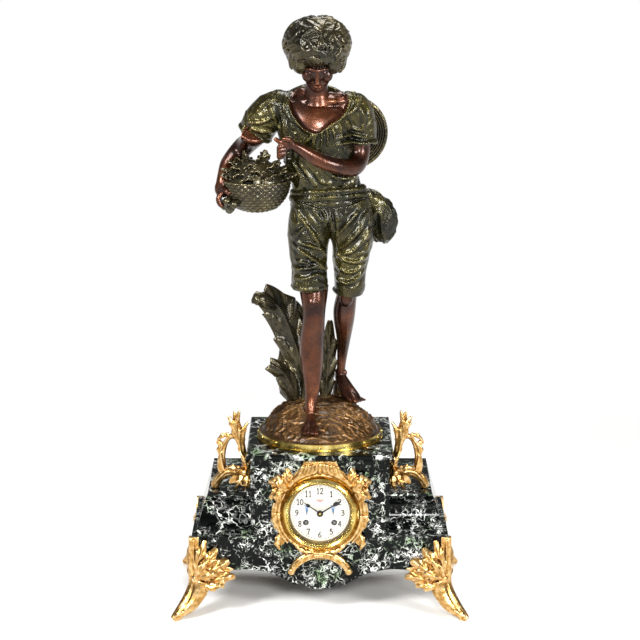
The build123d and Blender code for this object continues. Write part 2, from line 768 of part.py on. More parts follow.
# Centre wheel: its arbor carries the cannon pinion before the plate and, on it, the minute hand
cannon_back = front_plate_front + play
with BuildPart() as centre_wheel:
    add(arbor(dial_place, back_plate_front, front_plate_back))
    add(gear(dial_place, small_pinion_leaves, train_module, second_wheel_back - pinion_over,
             wheel_thick + pinion_over * 2, pinion_phase(second_place, dial_place, small_pinion_leaves)))
    add(gear(dial_place, centre_teeth, train_module, centre_wheel_back, wheel_thick,
             direction(dial_place, third_place), arms=4))
    add(ring(dial_place, front_plate_front - plate_thick - play, cannon_back, 0, arbor_radius))
    add(gear(dial_place, cannon_leaves, motion_module, cannon_back, wheel_thick + pinion_over * 2,
             direction(dial_place, minute_wheel_place)))
    add(ring(dial_place, cannon_back, minute_hand_ahead + hand_thick * 2, 0, cannon_pipe_radius))
centre_wheel.part.label = "centre_wheel"
export_step(centre_wheel.part, "parts/centre_wheel.step")

# Third wheel
with BuildPart() as third_wheel:
    add(arbor(third_place, back_plate_front, front_plate_back))
    add(gear(third_place, small_pinion_leaves, train_module, centre_wheel_back - pinion_over,
             wheel_thick + pinion_over * 2, pinion_phase(dial_place, third_place, small_pinion_leaves)))
    add(gear(third_place, third_teeth, third_module, third_wheel_back, wheel_thick,
             direction(third_place, escape_place), arms=4))
third_wheel.part.label = "third_wheel"
export_step(third_wheel.part, "parts/third_wheel.step")

# Escape wheel, with its raked teeth standing near the front plate
escape_points = []
for number in range(escape_teeth):
    for radius, turn in ((escape_radius, 0), (escape_radius - play * 5, 0.12),
                         (escape_radius - play * 5, 0.55)):
        angle = (number + turn) * 2 * pi / escape_teeth
        escape_points.append((radius * cos(angle), radius * sin(angle)))
with BuildPart() as escape_wheel:
    add(arbor(escape_place, back_plate_front, front_plate_back))
    add(gear(escape_place, small_pinion_leaves, third_module, third_wheel_back - pinion_over,
             wheel_thick + pinion_over * 2, pinion_phase(third_place, escape_place, small_pinion_leaves)))
    add(cut_sheet(escape_place, escape_wheel_back, escape_wheel_back + wheel_thick, escape_points))
escape_wheel.part.label = "escape_wheel"
export_step(escape_wheel.part, "parts/escape_wheel.step")

# Minute wheel, which turns on a stud of the front plate
minute_wheel_back = cannon_back
hour_wheel_back = cannon_back + wheel_thick + pinion_over * 2 + play
with BuildPart() as minute_wheel:
    add(gear(minute_wheel_place, minute_wheel_teeth, motion_module, minute_wheel_back, wheel_thick,
             direction(minute_wheel_place, dial_place) + pi / minute_wheel_teeth, arms=4))
    add(gear(minute_wheel_place, small_pinion_leaves, hour_module, minute_wheel_back,
             hour_wheel_back + wheel_thick + play - minute_wheel_back,
             pinion_phase(dial_place, minute_wheel_place, small_pinion_leaves)))
    add(ring(minute_wheel_place, minute_wheel_back - overrun, minute_wheel_back + overrun, 0,
             arbor_radius + turning_play), mode=Mode.SUBTRACT)
minute_wheel.part.label = "minute_wheel"
export_step(minute_wheel.part, "parts/minute_wheel.step")

# Hour wheel, whose pipe turns on the cannon and holds the hour hand
with BuildPart() as hour_wheel:
    add(gear(dial_place, hour_teeth, hour_module, hour_wheel_back, wheel_thick,
             direction(dial_place, minute_wheel_place), bore=cannon_pipe_radius + turning_play))
    add(ring(dial_place, hour_wheel_back, hour_hand_ahead + hand_thick + play,
             cannon_pipe_radius + turning_play,
             hour_pipe_radius))
hour_wheel.part.label = "hour_wheel"
export_step(hour_wheel.part, "parts/hour_wheel.step")

# Plates: the pillars are riveted in the back plate and hold the front one
hammer_place = (-plate_radius * 0.76, dial_height + plate_radius * 0.31)
pillar_angles = (8, 60, 125, 172, 270)
pivot_places = (second_place, dial_place, third_place, escape_place)


def drill(places, radius, back, front):
    """Holes from front to back at some places, joined into one cutter."""
    with BuildPart() as piece:
        for place in places:
            with BuildSketch(front_plane(back, place)):
                Circle(radius)
            extrude(amount=front - back)
    return piece.part


plate_holes = [
    drill(pivot_places, pivot_radius + turning_play, back_plate_back, front_plate_front),
    drill((going_place, strike_place), winding_arbor_radius + turning_play, back_plate_back,
          front_plate_front),
]
with BuildPart() as front_plate:
    add(ring(dial_place, front_plate_back, front_plate_front, 0, plate_radius))
    add(plate_holes, mode=Mode.SUBTRACT)
    add(ring(anchor_place, front_plate_back, front_plate_front, 0, pivot_radius + turning_play),
        mode=Mode.SUBTRACT)
    add(ring(dial_place, front_plate_back, front_plate_front, 0, arbor_radius + turning_play),
        mode=Mode.SUBTRACT)
    add(ring(minute_wheel_place, front_plate_front, minute_wheel_back + wheel_thick, 0, arbor_radius))
front_plate.part.label = "front_plate"
export_step(front_plate.part, "parts/front_plate.step")

with BuildPart() as back_plate:
    add(ring(dial_place, back_plate_back, back_plate_front, 0, plate_radius))
    for angle in pillar_angles:
        place = (pillar_circle * cos(radians(angle)), dial_height + pillar_circle * sin(radians(angle)))
        add(ring(place, back_plate_front, front_plate_back, 0, pillar_radius))
    add(plate_holes, mode=Mode.SUBTRACT)
    add(ring(anchor_place, back_plate_back, back_plate_front, 0, arbor_radius * 2), mode=Mode.SUBTRACT)
    add(ring(hammer_place, back_plate_back, back_plate_front, 0, arbor_radius + turning_play),
        mode=Mode.SUBTRACT)
back_plate.part.label = "back_plate"
export_step(back_plate.part, "parts/back_plate.step")

# Anchor: the pallets straddle the escape wheel and the crutch hangs behind the back plate
anchor_thick = 3.0
crutch_back = back_plate_back - pendulum_set_back + rod_radius
anchor_outline_shares = [
    (-1.55, -0.42), (-1.30, 0.12), (-0.50, 0.62), (0.50, 0.62), (1.30, 0.12), (1.55, -0.42),
    (1.22, -0.42), (1.00, 0.02), (0.40, 0.30), (-0.40, 0.30), (-1.00, 0.02), (-1.22, -0.42),
]
with BuildPart() as anchor:
    add(arbor(anchor_place, back_plate_front, front_plate_back))
    arch = [(x * escape_radius, (y - 0.45) * (anchor_rise - escape_rise)) for x, y in anchor_outline_shares]
    add(cut_sheet(anchor_place, escape_wheel_back, escape_wheel_back + wheel_thick, arch))
    add(ring(anchor_place, back_plate_back - wheel_thick * 2, back_plate_front + play * 2, 0, arbor_radius))
    add(cut_sheet(anchor_place, back_plate_back - wheel_thick * 2, back_plate_back - wheel_thick, [
        (-arbor_radius * 2, arbor_radius * 2), (arbor_radius * 2, arbor_radius * 2),
        (rod_radius * 2, -crutch_length), (-rod_radius * 2, -crutch_length),
    ]))
    for side in (-1, 1):
        near = side * (rod_radius + turning_play)
        far = side * (rod_radius * 2)
        add(block(min(near, far), max(near, far), crutch_back - rod_radius * 3,
                  back_plate_back - wheel_thick,
                  suspension_height - crutch_length, suspension_height - crutch_length + anchor_thick))
anchor.part.label = "anchor"
export_step(anchor.part, "parts/anchor.step")

# Suspension block: the cock on the back plate whose spring carries the pendulum
cock_width = 9.0
cock_height = 8.0
spring_length = 6.0
spring_width = 4.0
spring_thick = 0.3
with BuildPart() as suspension_block:
    for side in (-1, 1):
        near = side * (cock_width - suspension_gap * 2)
        far = side * cock_width
        add(block(min(near, far), max(near, far), pendulum_ahead - spring_width, back_plate_back,
                  suspension_height + spring_length / 2,
                  suspension_height + spring_length / 2 + cock_height))
    add(block(-cock_width, cock_width, pendulum_ahead - spring_width, pendulum_ahead + spring_width,
              suspension_height + spring_length / 2, suspension_height + spring_length / 2 + cock_height))
    add(block(-spring_thick / 2, spring_thick / 2, pendulum_ahead - spring_width / 2,
              pendulum_ahead + spring_width / 2, suspension_height + play,
              suspension_height + spring_length / 2))
suspension_block.part.label = "suspension_block"
export_step(suspension_block.part, "parts/suspension_block.step")

# Pendulum rod, hooked under the suspension spring, and the lenticular bob
bob_place = (0, suspension_height - pendulum_length)
with BuildPart() as pendulum_rod:
    add(block(-rod_radius * 2, rod_radius * 2, pendulum_ahead - spring_width / 2,
              pendulum_ahead + spring_width / 2,
              suspension_height - anchor_thick, suspension_height))
    with BuildSketch(Plane(origin=(0, -pendulum_ahead, bob_place[1] - bob_radius - rod_radius))):
        Circle(rod_radius)
    extrude(amount=pendulum_length + bob_radius + rod_radius - anchor_thick)
pendulum_rod.part.label = "pendulum_rod"
export_step(pendulum_rod.part, "parts/pendulum_rod.step")

with BuildPart() as pendulum_bob:
    add(turned(bob_place, [
        (pendulum_ahead - bob_thick / 2, 0), (pendulum_ahead - bob_thick / 3, bob_radius * 0.6),
        (pendulum_ahead - bob_thick / 8, bob_radius), (pendulum_ahead + bob_thick / 8, bob_radius),
        (pendulum_ahead + bob_thick / 3, bob_radius * 0.6), (pendulum_ahead + bob_thick / 2, 0),
    ]))
    with BuildSketch(Plane(origin=(0, -pendulum_ahead, bob_place[1] - bob_radius - rod_radius))):
        Circle(rod_radius)
    extrude(amount=bob_radius * 3, mode=Mode.SUBTRACT)
pendulum_bob.part.label = "pendulum_bob"
export_step(pendulum_bob.part, "parts/pendulum_bob.step")

# Bell, carried at its middle by a bent stand from the back plate
post_place = (bell_radius / 2, dial_height - bell_radius / 4)
with BuildPart() as bell:
    rim = bell_radius
    add(turned(dial_place, [
        (bell_front, rim), (bell_front - bell_depth * 0.5, rim * 0.94),
        (bell_front - bell_depth * 0.85, rim * 0.70),
        (bell_back, rim * 0.30), (bell_back, post_radius), (bell_back + bell_wall, post_radius),
        (bell_back + bell_wall, rim * 0.28), (bell_front - bell_depth * 0.80, rim * 0.66),
        (bell_front - bell_depth * 0.5, rim * 0.94 - bell_wall), (bell_front, rim - bell_wall),
    ]))
bell.part.label = "bell"
export_step(bell.part, "parts/bell.step")

arm_back = bell_back + bell_wall + post_radius * 2
with BuildPart() as bell_stand:
    add(ring(post_place, arm_back, back_plate_back, 0, post_radius))
    with BuildSketch(front_plane(arm_back)):
        with BuildLine():
            Polyline(
                (-post_radius, dial_height + post_radius),
                (post_place[0] + post_radius, post_place[1] + post_radius),
                (post_place[0] + post_radius, post_place[1] - post_radius),
                (-post_radius, dial_height - post_radius),
                close=True,
            )
        make_face()
    extrude(amount=post_radius * 2)
    add(ring(dial_place, bell_back - post_radius * 2, arm_back, 0, post_radius))
    add(ring(dial_place, bell_back - post_radius * 2, bell_back, 0, post_radius * 2))
bell_stand.part.label = "bell_stand"
export_step(bell_stand.part, "parts/bell_stand.step")

# Hammer, which turns on an arbor behind the plate and strikes the rim of the bell
hammer_circle = bell_radius + hammer_head_radius + play * 5
hammer_head = (-hammer_circle * sin(pi / 6), dial_height + hammer_circle * cos(pi / 6))
hammer_back = back_plate_back - plate_thick - play
with BuildPart() as hammer:
    add(ring(hammer_place, hammer_back - plate_thick, back_plate_front, 0, arbor_radius))
    reach = Vector(hammer_head[0] - hammer_place[0], hammer_head[1] - hammer_place[1])
    across = reach.normalized().rotate(Axis.Z, 90) * arbor_radius
    add(cut_sheet(hammer_place, hammer_back - plate_thick, hammer_back, [
        tuple(across * 2 - reach * 0.1)[:2], tuple(reach + across)[:2], tuple(reach - across)[:2],
        tuple(reach * -0.1 - across * 2)[:2],
    ]))
    add(ring(hammer_head, bell_front - bell_depth / 2, hammer_back, 0, arbor_radius))
    add(ring(hammer_head, bell_front - bell_depth / 2, bell_front - play, 0, hammer_head_radius))
hammer.part.label = "hammer"
export_step(hammer.part, "parts/hammer.step")

# Regulator arbor, turned from the dial to lengthen or shorten the suspension spring
with BuildPart() as regulator_arbor:
    add(ring(regulator_place, pendulum_ahead + spring_width + play, door_back - play * 5, 0,
             regulator_radius))
    add(ring(regulator_place, pendulum_ahead + spring_width + play,
             pendulum_ahead + spring_width + play * 5, 0,
             regulator_radius * 3))
regulator_arbor.part.label = "regulator_arbor"
export_step(regulator_arbor.part, "parts/regulator_arbor.step")

# Case straps, riveted in the bezel ring and ended in tapped lugs for the rear screws
rear_face = -case_half_depth
rear_ring_front = rear_face + rear_ring_depth
strap_back = rear_ring_front + plate_thick
with BuildPart() as case_straps:
    for side in (-1, 1):
        middle = side * strap_reach
        add(block(middle - strap_thick / 2, middle + strap_thick / 2, strap_back,
                  front_face + bezel_flange / 2,
                  dial_height - strap_half_width, dial_height + strap_half_width))
        near, far = sorted((middle - side * strap_thick / 2, middle + side * lug_thick))
        add(block(near, far, strap_back, strap_back + lug_length, dial_height - strap_half_width,
                  dial_height + strap_half_width))
    screw_places = [(side * (strap_reach + lug_thick / 2), dial_height) for side in (-1, 1)]
    add(drill(screw_places, screw_radius, strap_back, strap_back + lug_length), mode=Mode.SUBTRACT)
case_straps.part.label = "case_straps"
export_step(case_straps.part, "parts/case_straps.step")

# Rear ring, drawn against the back panel by the two long screws
ring_outer = rear_bore - play
ring_inner = ring_outer - rear_ring_wall
rear_hinge_x = -(rear_bore + rear_flange + hinge_barrel)
rear_hinge_ahead = rear_face - plate_thick - rear_door_thick
with BuildPart() as rear_ring:
    add(turned(dial_place, [
        (rear_ring_front, ring_inner), (rear_ring_front, ring_outer), (rear_face, ring_outer),
        (rear_face, rear_bore + rear_flange), (rear_face - plate_thick, rear_bore + rear_flange),
        (rear_face - plate_thick, ring_inner),
    ]))
    for side in (-1, 1):
        near, far = sorted((side * (strap_reach - strap_thick / 2),
                            side * (ring_outer - rear_ring_wall / 2)))
        add(block(near, far, rear_ring_front, strap_back, dial_height - strap_half_width,
                  dial_height + strap_half_width))
    add(drill(screw_places, screw_radius + turning_play, rear_ring_front, strap_back), mode=Mode.SUBTRACT)
    for up in (-1, 1):
        ends = sorted((dial_height + up * hinge_half_height, dial_height + up * hinge_leaf))
        add(block(rear_hinge_x, -rear_bore, rear_face - plate_thick, rear_face, *ends))
        add(block(rear_hinge_x - hinge_barrel, rear_hinge_x + hinge_barrel, rear_hinge_ahead, rear_face,
                  *ends))
        with BuildSketch(Plane(origin=(rear_hinge_x, -rear_hinge_ahead, ends[0]))):
            Circle(hinge_barrel)
        extrude(amount=ends[1] - ends[0])
    rear_hinge_plane = Plane(origin=(rear_hinge_x, -rear_hinge_ahead, dial_height - hinge_half_height))
    with BuildSketch(rear_hinge_plane):
        Circle(hinge_pin_radius)
    extrude(amount=hinge_half_height * 2, mode=Mode.SUBTRACT)
rear_ring.part.label = "rear_ring"
export_step(rear_ring.part, "parts/rear_ring.step")

# Rear door: a thin spun brass cover with a rolled edge and a sound hole behind the bell
with BuildPart() as rear_door:
    door_near = rear_face - plate_thick - play
    add(turned(dial_place, [
        (door_near, 0), (door_near, rear_bore + rear_flange / 2),
        (door_near - rear_door_thick * 2, rear_bore),
        (door_near - rear_door_thick * 2, rear_bore - rear_door_thick), (door_near - rear_door_thick,
         rear_bore - rear_door_thick * 2), (door_near - rear_door_thick, 0),
    ]))
    for angle in range(45, 360, 90):
        place = (bell_radius * 0.7 * cos(radians(angle)),
                 dial_height + bell_radius * 0.7 * sin(radians(angle)))
        add(ring(place, door_near - rear_door_thick, door_near, 0, hammer_head_radius), mode=Mode.SUBTRACT)
    add(block(rear_hinge_x, -rear_bore, door_near - rear_door_thick, door_near,
              dial_height - hinge_leaf + play,
              dial_height + hinge_leaf - play))
    with BuildSketch(Plane(origin=(rear_hinge_x, -rear_hinge_ahead, dial_height - hinge_leaf + play))):
        Circle(hinge_barrel)
    extrude(amount=(hinge_leaf - play) * 2)
    with BuildSketch(rear_hinge_plane):
        Circle(hinge_pin_radius + turning_play)
    extrude(amount=hinge_half_height * 2, mode=Mode.SUBTRACT)
rear_door.part.label = "rear_door"
export_step(rear_door.part, "parts/rear_door.step")

# Hinge pins of both doors
with BuildPart() as hinge_pins:
    for plane in (hinge_plane, rear_hinge_plane):
        with BuildSketch(plane):
            Circle(hinge_pin_radius)
        extrude(amount=hinge_half_height * 2)
hinge_pins.part.label = "hinge_pins"
export_step(hinge_pins.part, "parts/hinge_pins.step")

# Strap screws: the long screws that clamp the case between the bezel and the rear ring
with BuildPart() as strap_screws:
    for place in screw_places:
        add(ring(place, rear_ring_front, strap_back + lug_length, 0, screw_radius))
        add(ring(place, rear_ring_front - screw_head_height, rear_ring_front, 0, screw_head_radius))
strap_screws.part.label = "strap_screws"
export_step(strap_screws.part, "parts/strap_screws.step")

# Mound: the rocky ground that the boy walks on, with the root that his raised heel rests on
mound_shares = [
    (0.00, 0.00, 0.00, 0.97, 0.97), (0.00, 0.03, 0.30, 0.88, 0.88),
    (-0.02, 0.09, 0.66, 0.74, 0.70), (0.00, 0.12, 0.91, 0.56, 0.50), (0.00, 0.13, 1.00, 0.34, 0.30),
]
root_shares = [(0.056, 0.080, 0.050, 0.034, 0.030), (0.053, 0.078, 0.090, 0.024, 0.022),
               (0.050, 0.076, 0.118, 0.017, 0.016)]


def figure_limb(shares, side=(1, 0, 0)):
    """A limb whose stations are shares of the figure's height above the slab."""
    return limb([
        (x * figure_height, y * figure_height, slab_top + z * figure_height, wide * figure_height,
         deep * figure_height) for x, y, z, wide, deep in shares
    ], side)


with BuildPart() as mound:
    with BuildSketch(Plane.XY.offset(slab_top)):
        Ellipse(mound_half_width, mound_half_depth)
    extrude(amount=mound_ring_height)
    mound_rise = mound_height - mound_ring_height
    add(limb([
        (x * mound_half_width, y * mound_half_depth, slab_top + mound_ring_height + z * mound_rise,
         wide * mound_half_width, deep * mound_half_depth) for x, y, z, wide, deep in mound_shares
    ], level=True))
    add(figure_limb(root_shares))
    with BuildSketch(Plane.XY.offset(slab_top)):
        Circle(bolt_radius)
    extrude(amount=mound_height / 2, mode=Mode.SUBTRACT)
mound.part.label = "mound"
export_step(mound.part, "parts/mound.step")

# Mound ring: the brass gallery with a rolled foot
with BuildPart() as mound_ring:
    for over, height in ((mound_ring_wall * 2, mound_ring_wall), (mound_ring_wall, mound_ring_height)):
        with BuildSketch(Plane.XY.offset(slab_top)):
            Ellipse(mound_half_width + over, mound_half_depth + over)
        extrude(amount=height)
    with BuildSketch(Plane.XY.offset(slab_top)):
        Ellipse(mound_half_width, mound_half_depth)
    extrude(amount=mound_ring_height, mode=Mode.SUBTRACT)
mound_ring.part.label = "mound_ring"
export_step(mound_ring.part, "parts/mound_ring.step")

# Mound bolt and its nut, which clamp the figure to the slab
with BuildPart() as mound_bolt:
    with BuildSketch(Plane.XY.offset(tower_top - nut_height * 2)):
        Circle(bolt_radius)
    extrude(amount=nut_height * 2 + slab_thick + mound_height / 2)
    with BuildSketch(Plane.XY.offset(tower_top - nut_height)):
        RegularPolygon(nut_radius, 6)
    extrude(amount=nut_height)
mound_bolt.part.label = "mound_bolt"
export_step(mound_bolt.part, "parts/mound_bolt.step")

# Shorts: two wide legs and a waist with a sash
shorts_right_shares = [
    (-0.010, 0.000, 0.560, 0.061, 0.055), (-0.024, -0.003, 0.514, 0.051, 0.055),
    (-0.027, -0.010, 0.467, 0.047, 0.052), (-0.025, -0.016, 0.428, 0.043, 0.047),
    (-0.024, -0.019, 0.391, 0.042, 0.044), (-0.024, -0.019, 0.364, 0.041, 0.040),
]
shorts_left_shares = [
    (0.057, 0.003, 0.564, 0.061, 0.055), (0.071, 0.003, 0.520, 0.056, 0.055),
    (0.076, 0.006, 0.476, 0.049, 0.052), (0.072, 0.010, 0.432, 0.042, 0.045),
    (0.070, 0.013, 0.391, 0.038, 0.042), (0.068, 0.016, 0.347, 0.034, 0.039),
]
waist_shares = [(0.022, 0.000, 0.530, 0.096, 0.056), (0.020, 0.000, 0.562, 0.088, 0.052),
                (0.018, 0.000, 0.592, 0.082, 0.047)]
with BuildPart() as shorts:
    for shares in (shorts_right_shares, shorts_left_shares, waist_shares):
        add(figure_limb(shares))
shorts.part.label = "shorts"
export_step(shorts.part, "parts/shorts.step")

# Shirt: a loose blouse with rolled sleeves
torso_shares = [
    (0.018, 0.000, 0.586, 0.081, 0.045), (0.011, -0.003, 0.620, 0.077, 0.048),
    (0.001, -0.006, 0.655, 0.079, 0.053), (-0.006, -0.008, 0.695, 0.083, 0.058),
    (-0.010, -0.010, 0.737, 0.087, 0.060), (-0.015, -0.006, 0.778, 0.090, 0.052),
    (-0.012, -0.003, 0.805, 0.070, 0.039), (-0.006, -0.010, 0.826, 0.036, 0.030),
]
right_sleeve_shares = [(-0.060, -0.003, 0.782, 0.034, 0.036), (-0.104, 0.000, 0.782, 0.044, 0.042),
                       (-0.136, 0.010, 0.752, 0.044, 0.040), (-0.150, 0.016, 0.726, 0.038, 0.034)]
left_sleeve_shares = [(0.040, 0.000, 0.784, 0.034, 0.034), (0.080, 0.003, 0.776, 0.042, 0.040),
                      (0.091, 0.010, 0.738, 0.040, 0.039), (0.092, 0.008, 0.705, 0.037, 0.036)]
with BuildPart() as shirt:
    for shares in (torso_shares, right_sleeve_shares, left_sleeve_shares):
        add(figure_limb(shares))
    add(shorts.part, mode=Mode.SUBTRACT)
shirt.part.label = "shirt"
export_step(shirt.part, "parts/shirt.step")

# Legs: bare below the knee-length shorts, the right one forward and the left heel raised
right_leg_shares = [
    (-0.014, -0.019, 0.380, 0.031, 0.031), (-0.014, -0.029, 0.316, 0.027, 0.029),
    (-0.016, -0.026, 0.279, 0.027, 0.029), (-0.019, -0.019, 0.241, 0.029, 0.032),
    (-0.020, -0.019, 0.205, 0.028, 0.031), (-0.018, -0.029, 0.134, 0.019, 0.019),
    (-0.021, -0.039, 0.092, 0.014, 0.016), (-0.021, -0.045, 0.060, 0.015, 0.019),
]
right_foot_shares = [
    (-0.021, -0.030, 0.056, 0.013, 0.012), (-0.021, -0.045, 0.058, 0.016, 0.018),
    (-0.021, -0.070, 0.053, 0.019, 0.014), (-0.022, -0.097, 0.044, 0.021, 0.009),
    (-0.022, -0.116, 0.038, 0.017, 0.006),
]
left_leg_shares = [
    (0.065, 0.010, 0.368, 0.029, 0.031), (0.061, 0.019, 0.329, 0.025, 0.027),
    (0.057, 0.036, 0.281, 0.025, 0.027), (0.057, 0.052, 0.241, 0.019, 0.023),
    (0.055, 0.065, 0.200, 0.014, 0.016), (0.052, 0.071, 0.164, 0.011, 0.013),
    (0.049, 0.071, 0.130, 0.012, 0.015),
]
left_foot_shares = [
    (0.046, 0.084, 0.126, 0.010, 0.009), (0.050, 0.070, 0.124, 0.014, 0.015),
    (0.062, 0.048, 0.108, 0.017, 0.013), (0.075, 0.028, 0.094, 0.018, 0.010),
    (0.086, 0.010, 0.084, 0.014, 0.006),
]
with BuildPart() as right_leg:
    add(figure_limb(right_leg_shares))
    add(figure_limb(right_foot_shares))
    add(mound.part, mode=Mode.SUBTRACT)
    add(shorts.part, mode=Mode.SUBTRACT)
right_leg.part.label = "right_leg"
export_step(right_leg.part, "parts/right_leg.step")

with BuildPart() as left_leg:
    add(figure_limb(left_leg_shares))
    add(figure_limb(left_foot_shares))
    add(mound.part, mode=Mode.SUBTRACT)
    add(shorts.part, mode=Mode.SUBTRACT)
left_leg.part.label = "left_leg"
export_step(left_leg.part, "parts/left_leg.step")

# Basket on the right hip, hollow, and the leaves and fruit that fill it
basket_shares = [(-0.146, -0.032, 0.562, 0.046, 0.048), (-0.146, -0.036, 0.600, 0.074, 0.065),
                 (-0.146, -0.036, 0.626, 0.078, 0.068)]
hollow_shares = [(-0.146, -0.034, 0.592, 0.056, 0.050), (-0.146, -0.036, 0.606, 0.066, 0.058),
                 (-0.146, -0.036, 0.640, 0.072, 0.062)]
fruit_shares = [(-0.146, -0.035, 0.594, 0.054, 0.048), (-0.146, -0.036, 0.626, 0.069, 0.060),
                (-0.144, -0.034, 0.650, 0.056, 0.048), (-0.142, -0.032, 0.670, 0.026, 0.022)]
with BuildPart() as basket:
    add(figure_limb(basket_shares))
    add(figure_limb(hollow_shares), mode=Mode.SUBTRACT)
    add(shirt.part, mode=Mode.SUBTRACT)
    add(shorts.part, mode=Mode.SUBTRACT)
basket.part.label = "basket"
export_step(basket.part, "parts/basket.step")

with BuildPart() as basket_fruit:
    add(figure_limb(fruit_shares))
    for cutter in (basket, shirt, shorts):
        add(cutter.part, mode=Mode.SUBTRACT)
basket_fruit.part.label = "basket_fruit"
export_step(basket_fruit.part, "parts/basket_fruit.step")

# Arms: the right one holds the rim of the basket, the left one is folded across the chest
right_arm_shares = [
    (-0.144, 0.013, 0.738, 0.031, 0.029),
    (-0.173, 0.029, 0.697, 0.024, 0.023), (-0.197, 0.036, 0.672, 0.023, 0.021),
    (-0.212, 0.008, 0.658, 0.019, 0.018), (-0.220, -0.024, 0.646, 0.014, 0.015),
    (-0.224, -0.040, 0.632, 0.013, 0.012), (-0.226, -0.048, 0.608, 0.015, 0.010),
    (-0.226, -0.048, 0.587, 0.010, 0.008),
]
left_arm_shares = [
    (0.090, 0.010, 0.722, 0.030, 0.030), (0.089, 0.006, 0.688, 0.028, 0.026),
    (0.080, -0.018, 0.655, 0.024, 0.022), (0.045, -0.055, 0.658, 0.020, 0.020),
    (0.004, -0.074, 0.675, 0.018, 0.016), (-0.035, -0.084, 0.697, 0.014, 0.014),
    (-0.071, -0.090, 0.715, 0.013, 0.014),
]
with BuildPart() as right_arm:
    add(figure_limb(right_arm_shares, side=(1, -0.4, 0.2)))
    for cutter in (shirt, basket, basket_fruit):
        add(cutter.part, mode=Mode.SUBTRACT)
right_arm.part.label = "right_arm"
export_step(right_arm.part, "parts/right_arm.step")

with BuildPart() as left_arm:
    add(figure_limb(left_arm_shares, side=(1, 1, 1)))
    add(shirt.part, mode=Mode.SUBTRACT)
left_arm.part.label = "left_arm"
export_step(left_arm.part, "parts/left_arm.step")

# Head: bowed a little, with a thick mop of hair
neck_shares = [(-0.010, -0.006, 0.800, 0.028, 0.026), (-0.008, -0.023, 0.832, 0.027, 0.026),
               (-0.008, -0.034, 0.866, 0.026, 0.026)]
face_shares = [
    (-0.010, -0.080, 0.832, 0.014, 0.012), (-0.009, -0.074, 0.846, 0.028, 0.024),
    (-0.007, -0.066, 0.868, 0.040, 0.038), (-0.006, -0.058, 0.898, 0.046, 0.048),
    (-0.006, -0.046, 0.940, 0.046, 0.048),
]
hair_shares = [
    (-0.007, -0.010, 0.862, 0.036, 0.034), (-0.007, -0.022, 0.885, 0.064, 0.058),
    (-0.007, -0.030, 0.925, 0.076, 0.070), (-0.006, -0.032, 0.962, 0.066, 0.062),
    (-0.006, -0.030, 0.988, 0.040, 0.036), (-0.006, -0.030, 1.000, 0.012, 0.012),
]
with BuildPart() as head:
    for shares in (neck_shares, face_shares, hair_shares):
        add(figure_limb(shares))
    add(shirt.part, mode=Mode.SUBTRACT)
head.part.label = "head"
export_step(head.part, "parts/head.step")

# Hat: a straw hat slung on the back, its brim facing forwards and its crown to the rear
hat_place = (0.072 * figure_height, slab_top + 0.723 * figure_height)
hat_radius = 0.085 * figure_height
hat_back = 0.052 * figure_height
hat_shares = [
    (0.00, 1.00), (0.30, 0.55), (0.75, 0.50), (0.92, 0.35), (1.00, 0.00),
    (0.88, 0.00), (0.80, 0.30), (0.68, 0.42), (0.18, 0.47), (-0.12, 0.99),
]
with BuildPart() as hat:
    add(turned(hat_place, [(-hat_back - x * hat_radius * 0.7, r * hat_radius) for x, r in hat_shares]))
    for cutter in (shirt, left_arm, head):
        add(cutter.part, mode=Mode.SUBTRACT)
hat.part.label = "hat"
export_step(hat.part, "parts/hat.step")

# Bag that hangs behind the left hip
bag_shares = [
    (0.104, 0.026, 0.582, 0.016, 0.016), (0.128, 0.036, 0.552, 0.034, 0.024),
    (0.144, 0.040, 0.512, 0.038, 0.026), (0.147, 0.042, 0.480, 0.026, 0.020),
    (0.146, 0.042, 0.464, 0.012, 0.010),
]
with BuildPart() as bag:
    add(figure_limb(bag_shares))
    add(shorts.part, mode=Mode.SUBTRACT)
    add(shirt.part, mode=Mode.SUBTRACT)
bag.part.label = "bag"
export_step(bag.part, "parts/bag.step")

# Big leaf: the plant that grows behind the forward leg and steadies the figure
plant_shares = [
    [(-0.080, 0.030, 0.060, 0.030, 0.013), (-0.092, 0.034, 0.150, 0.046, 0.013),
     (-0.105, 0.040, 0.220, 0.050, 0.012), (-0.126, 0.046, 0.290, 0.034, 0.010),
     (-0.151, 0.050, 0.339, 0.008, 0.005)],
    [(-0.066, 0.034, 0.065, 0.030, 0.013), (-0.062, 0.038, 0.150, 0.038, 0.012),
     (-0.054, 0.040, 0.220, 0.034, 0.011), (-0.050, 0.042, 0.270, 0.020, 0.009),
     (-0.049, 0.044, 0.300, 0.006, 0.005)],
    [(-0.085, 0.024, 0.055, 0.022, 0.012), (-0.104, 0.020, 0.110, 0.030, 0.012),
     (-0.124, 0.018, 0.150, 0.022, 0.009), (-0.140, 0.016, 0.180, 0.006, 0.005)],
]
with BuildPart() as big_leaf:
    for shares in plant_shares:
        add(figure_limb(shares))
    for cutter in (mound, right_leg, left_leg, shorts):
        add(cutter.part, mode=Mode.SUBTRACT)
big_leaf.part.label = "big_leaf"
export_step(big_leaf.part, "parts/big_leaf.step")
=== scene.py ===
import bmesh
import bpy
import numpy as np
from math import cos, pi, radians, sin
from mathutils import Matrix, Vector, noise
from mathutils.bvhtree import BVHTree


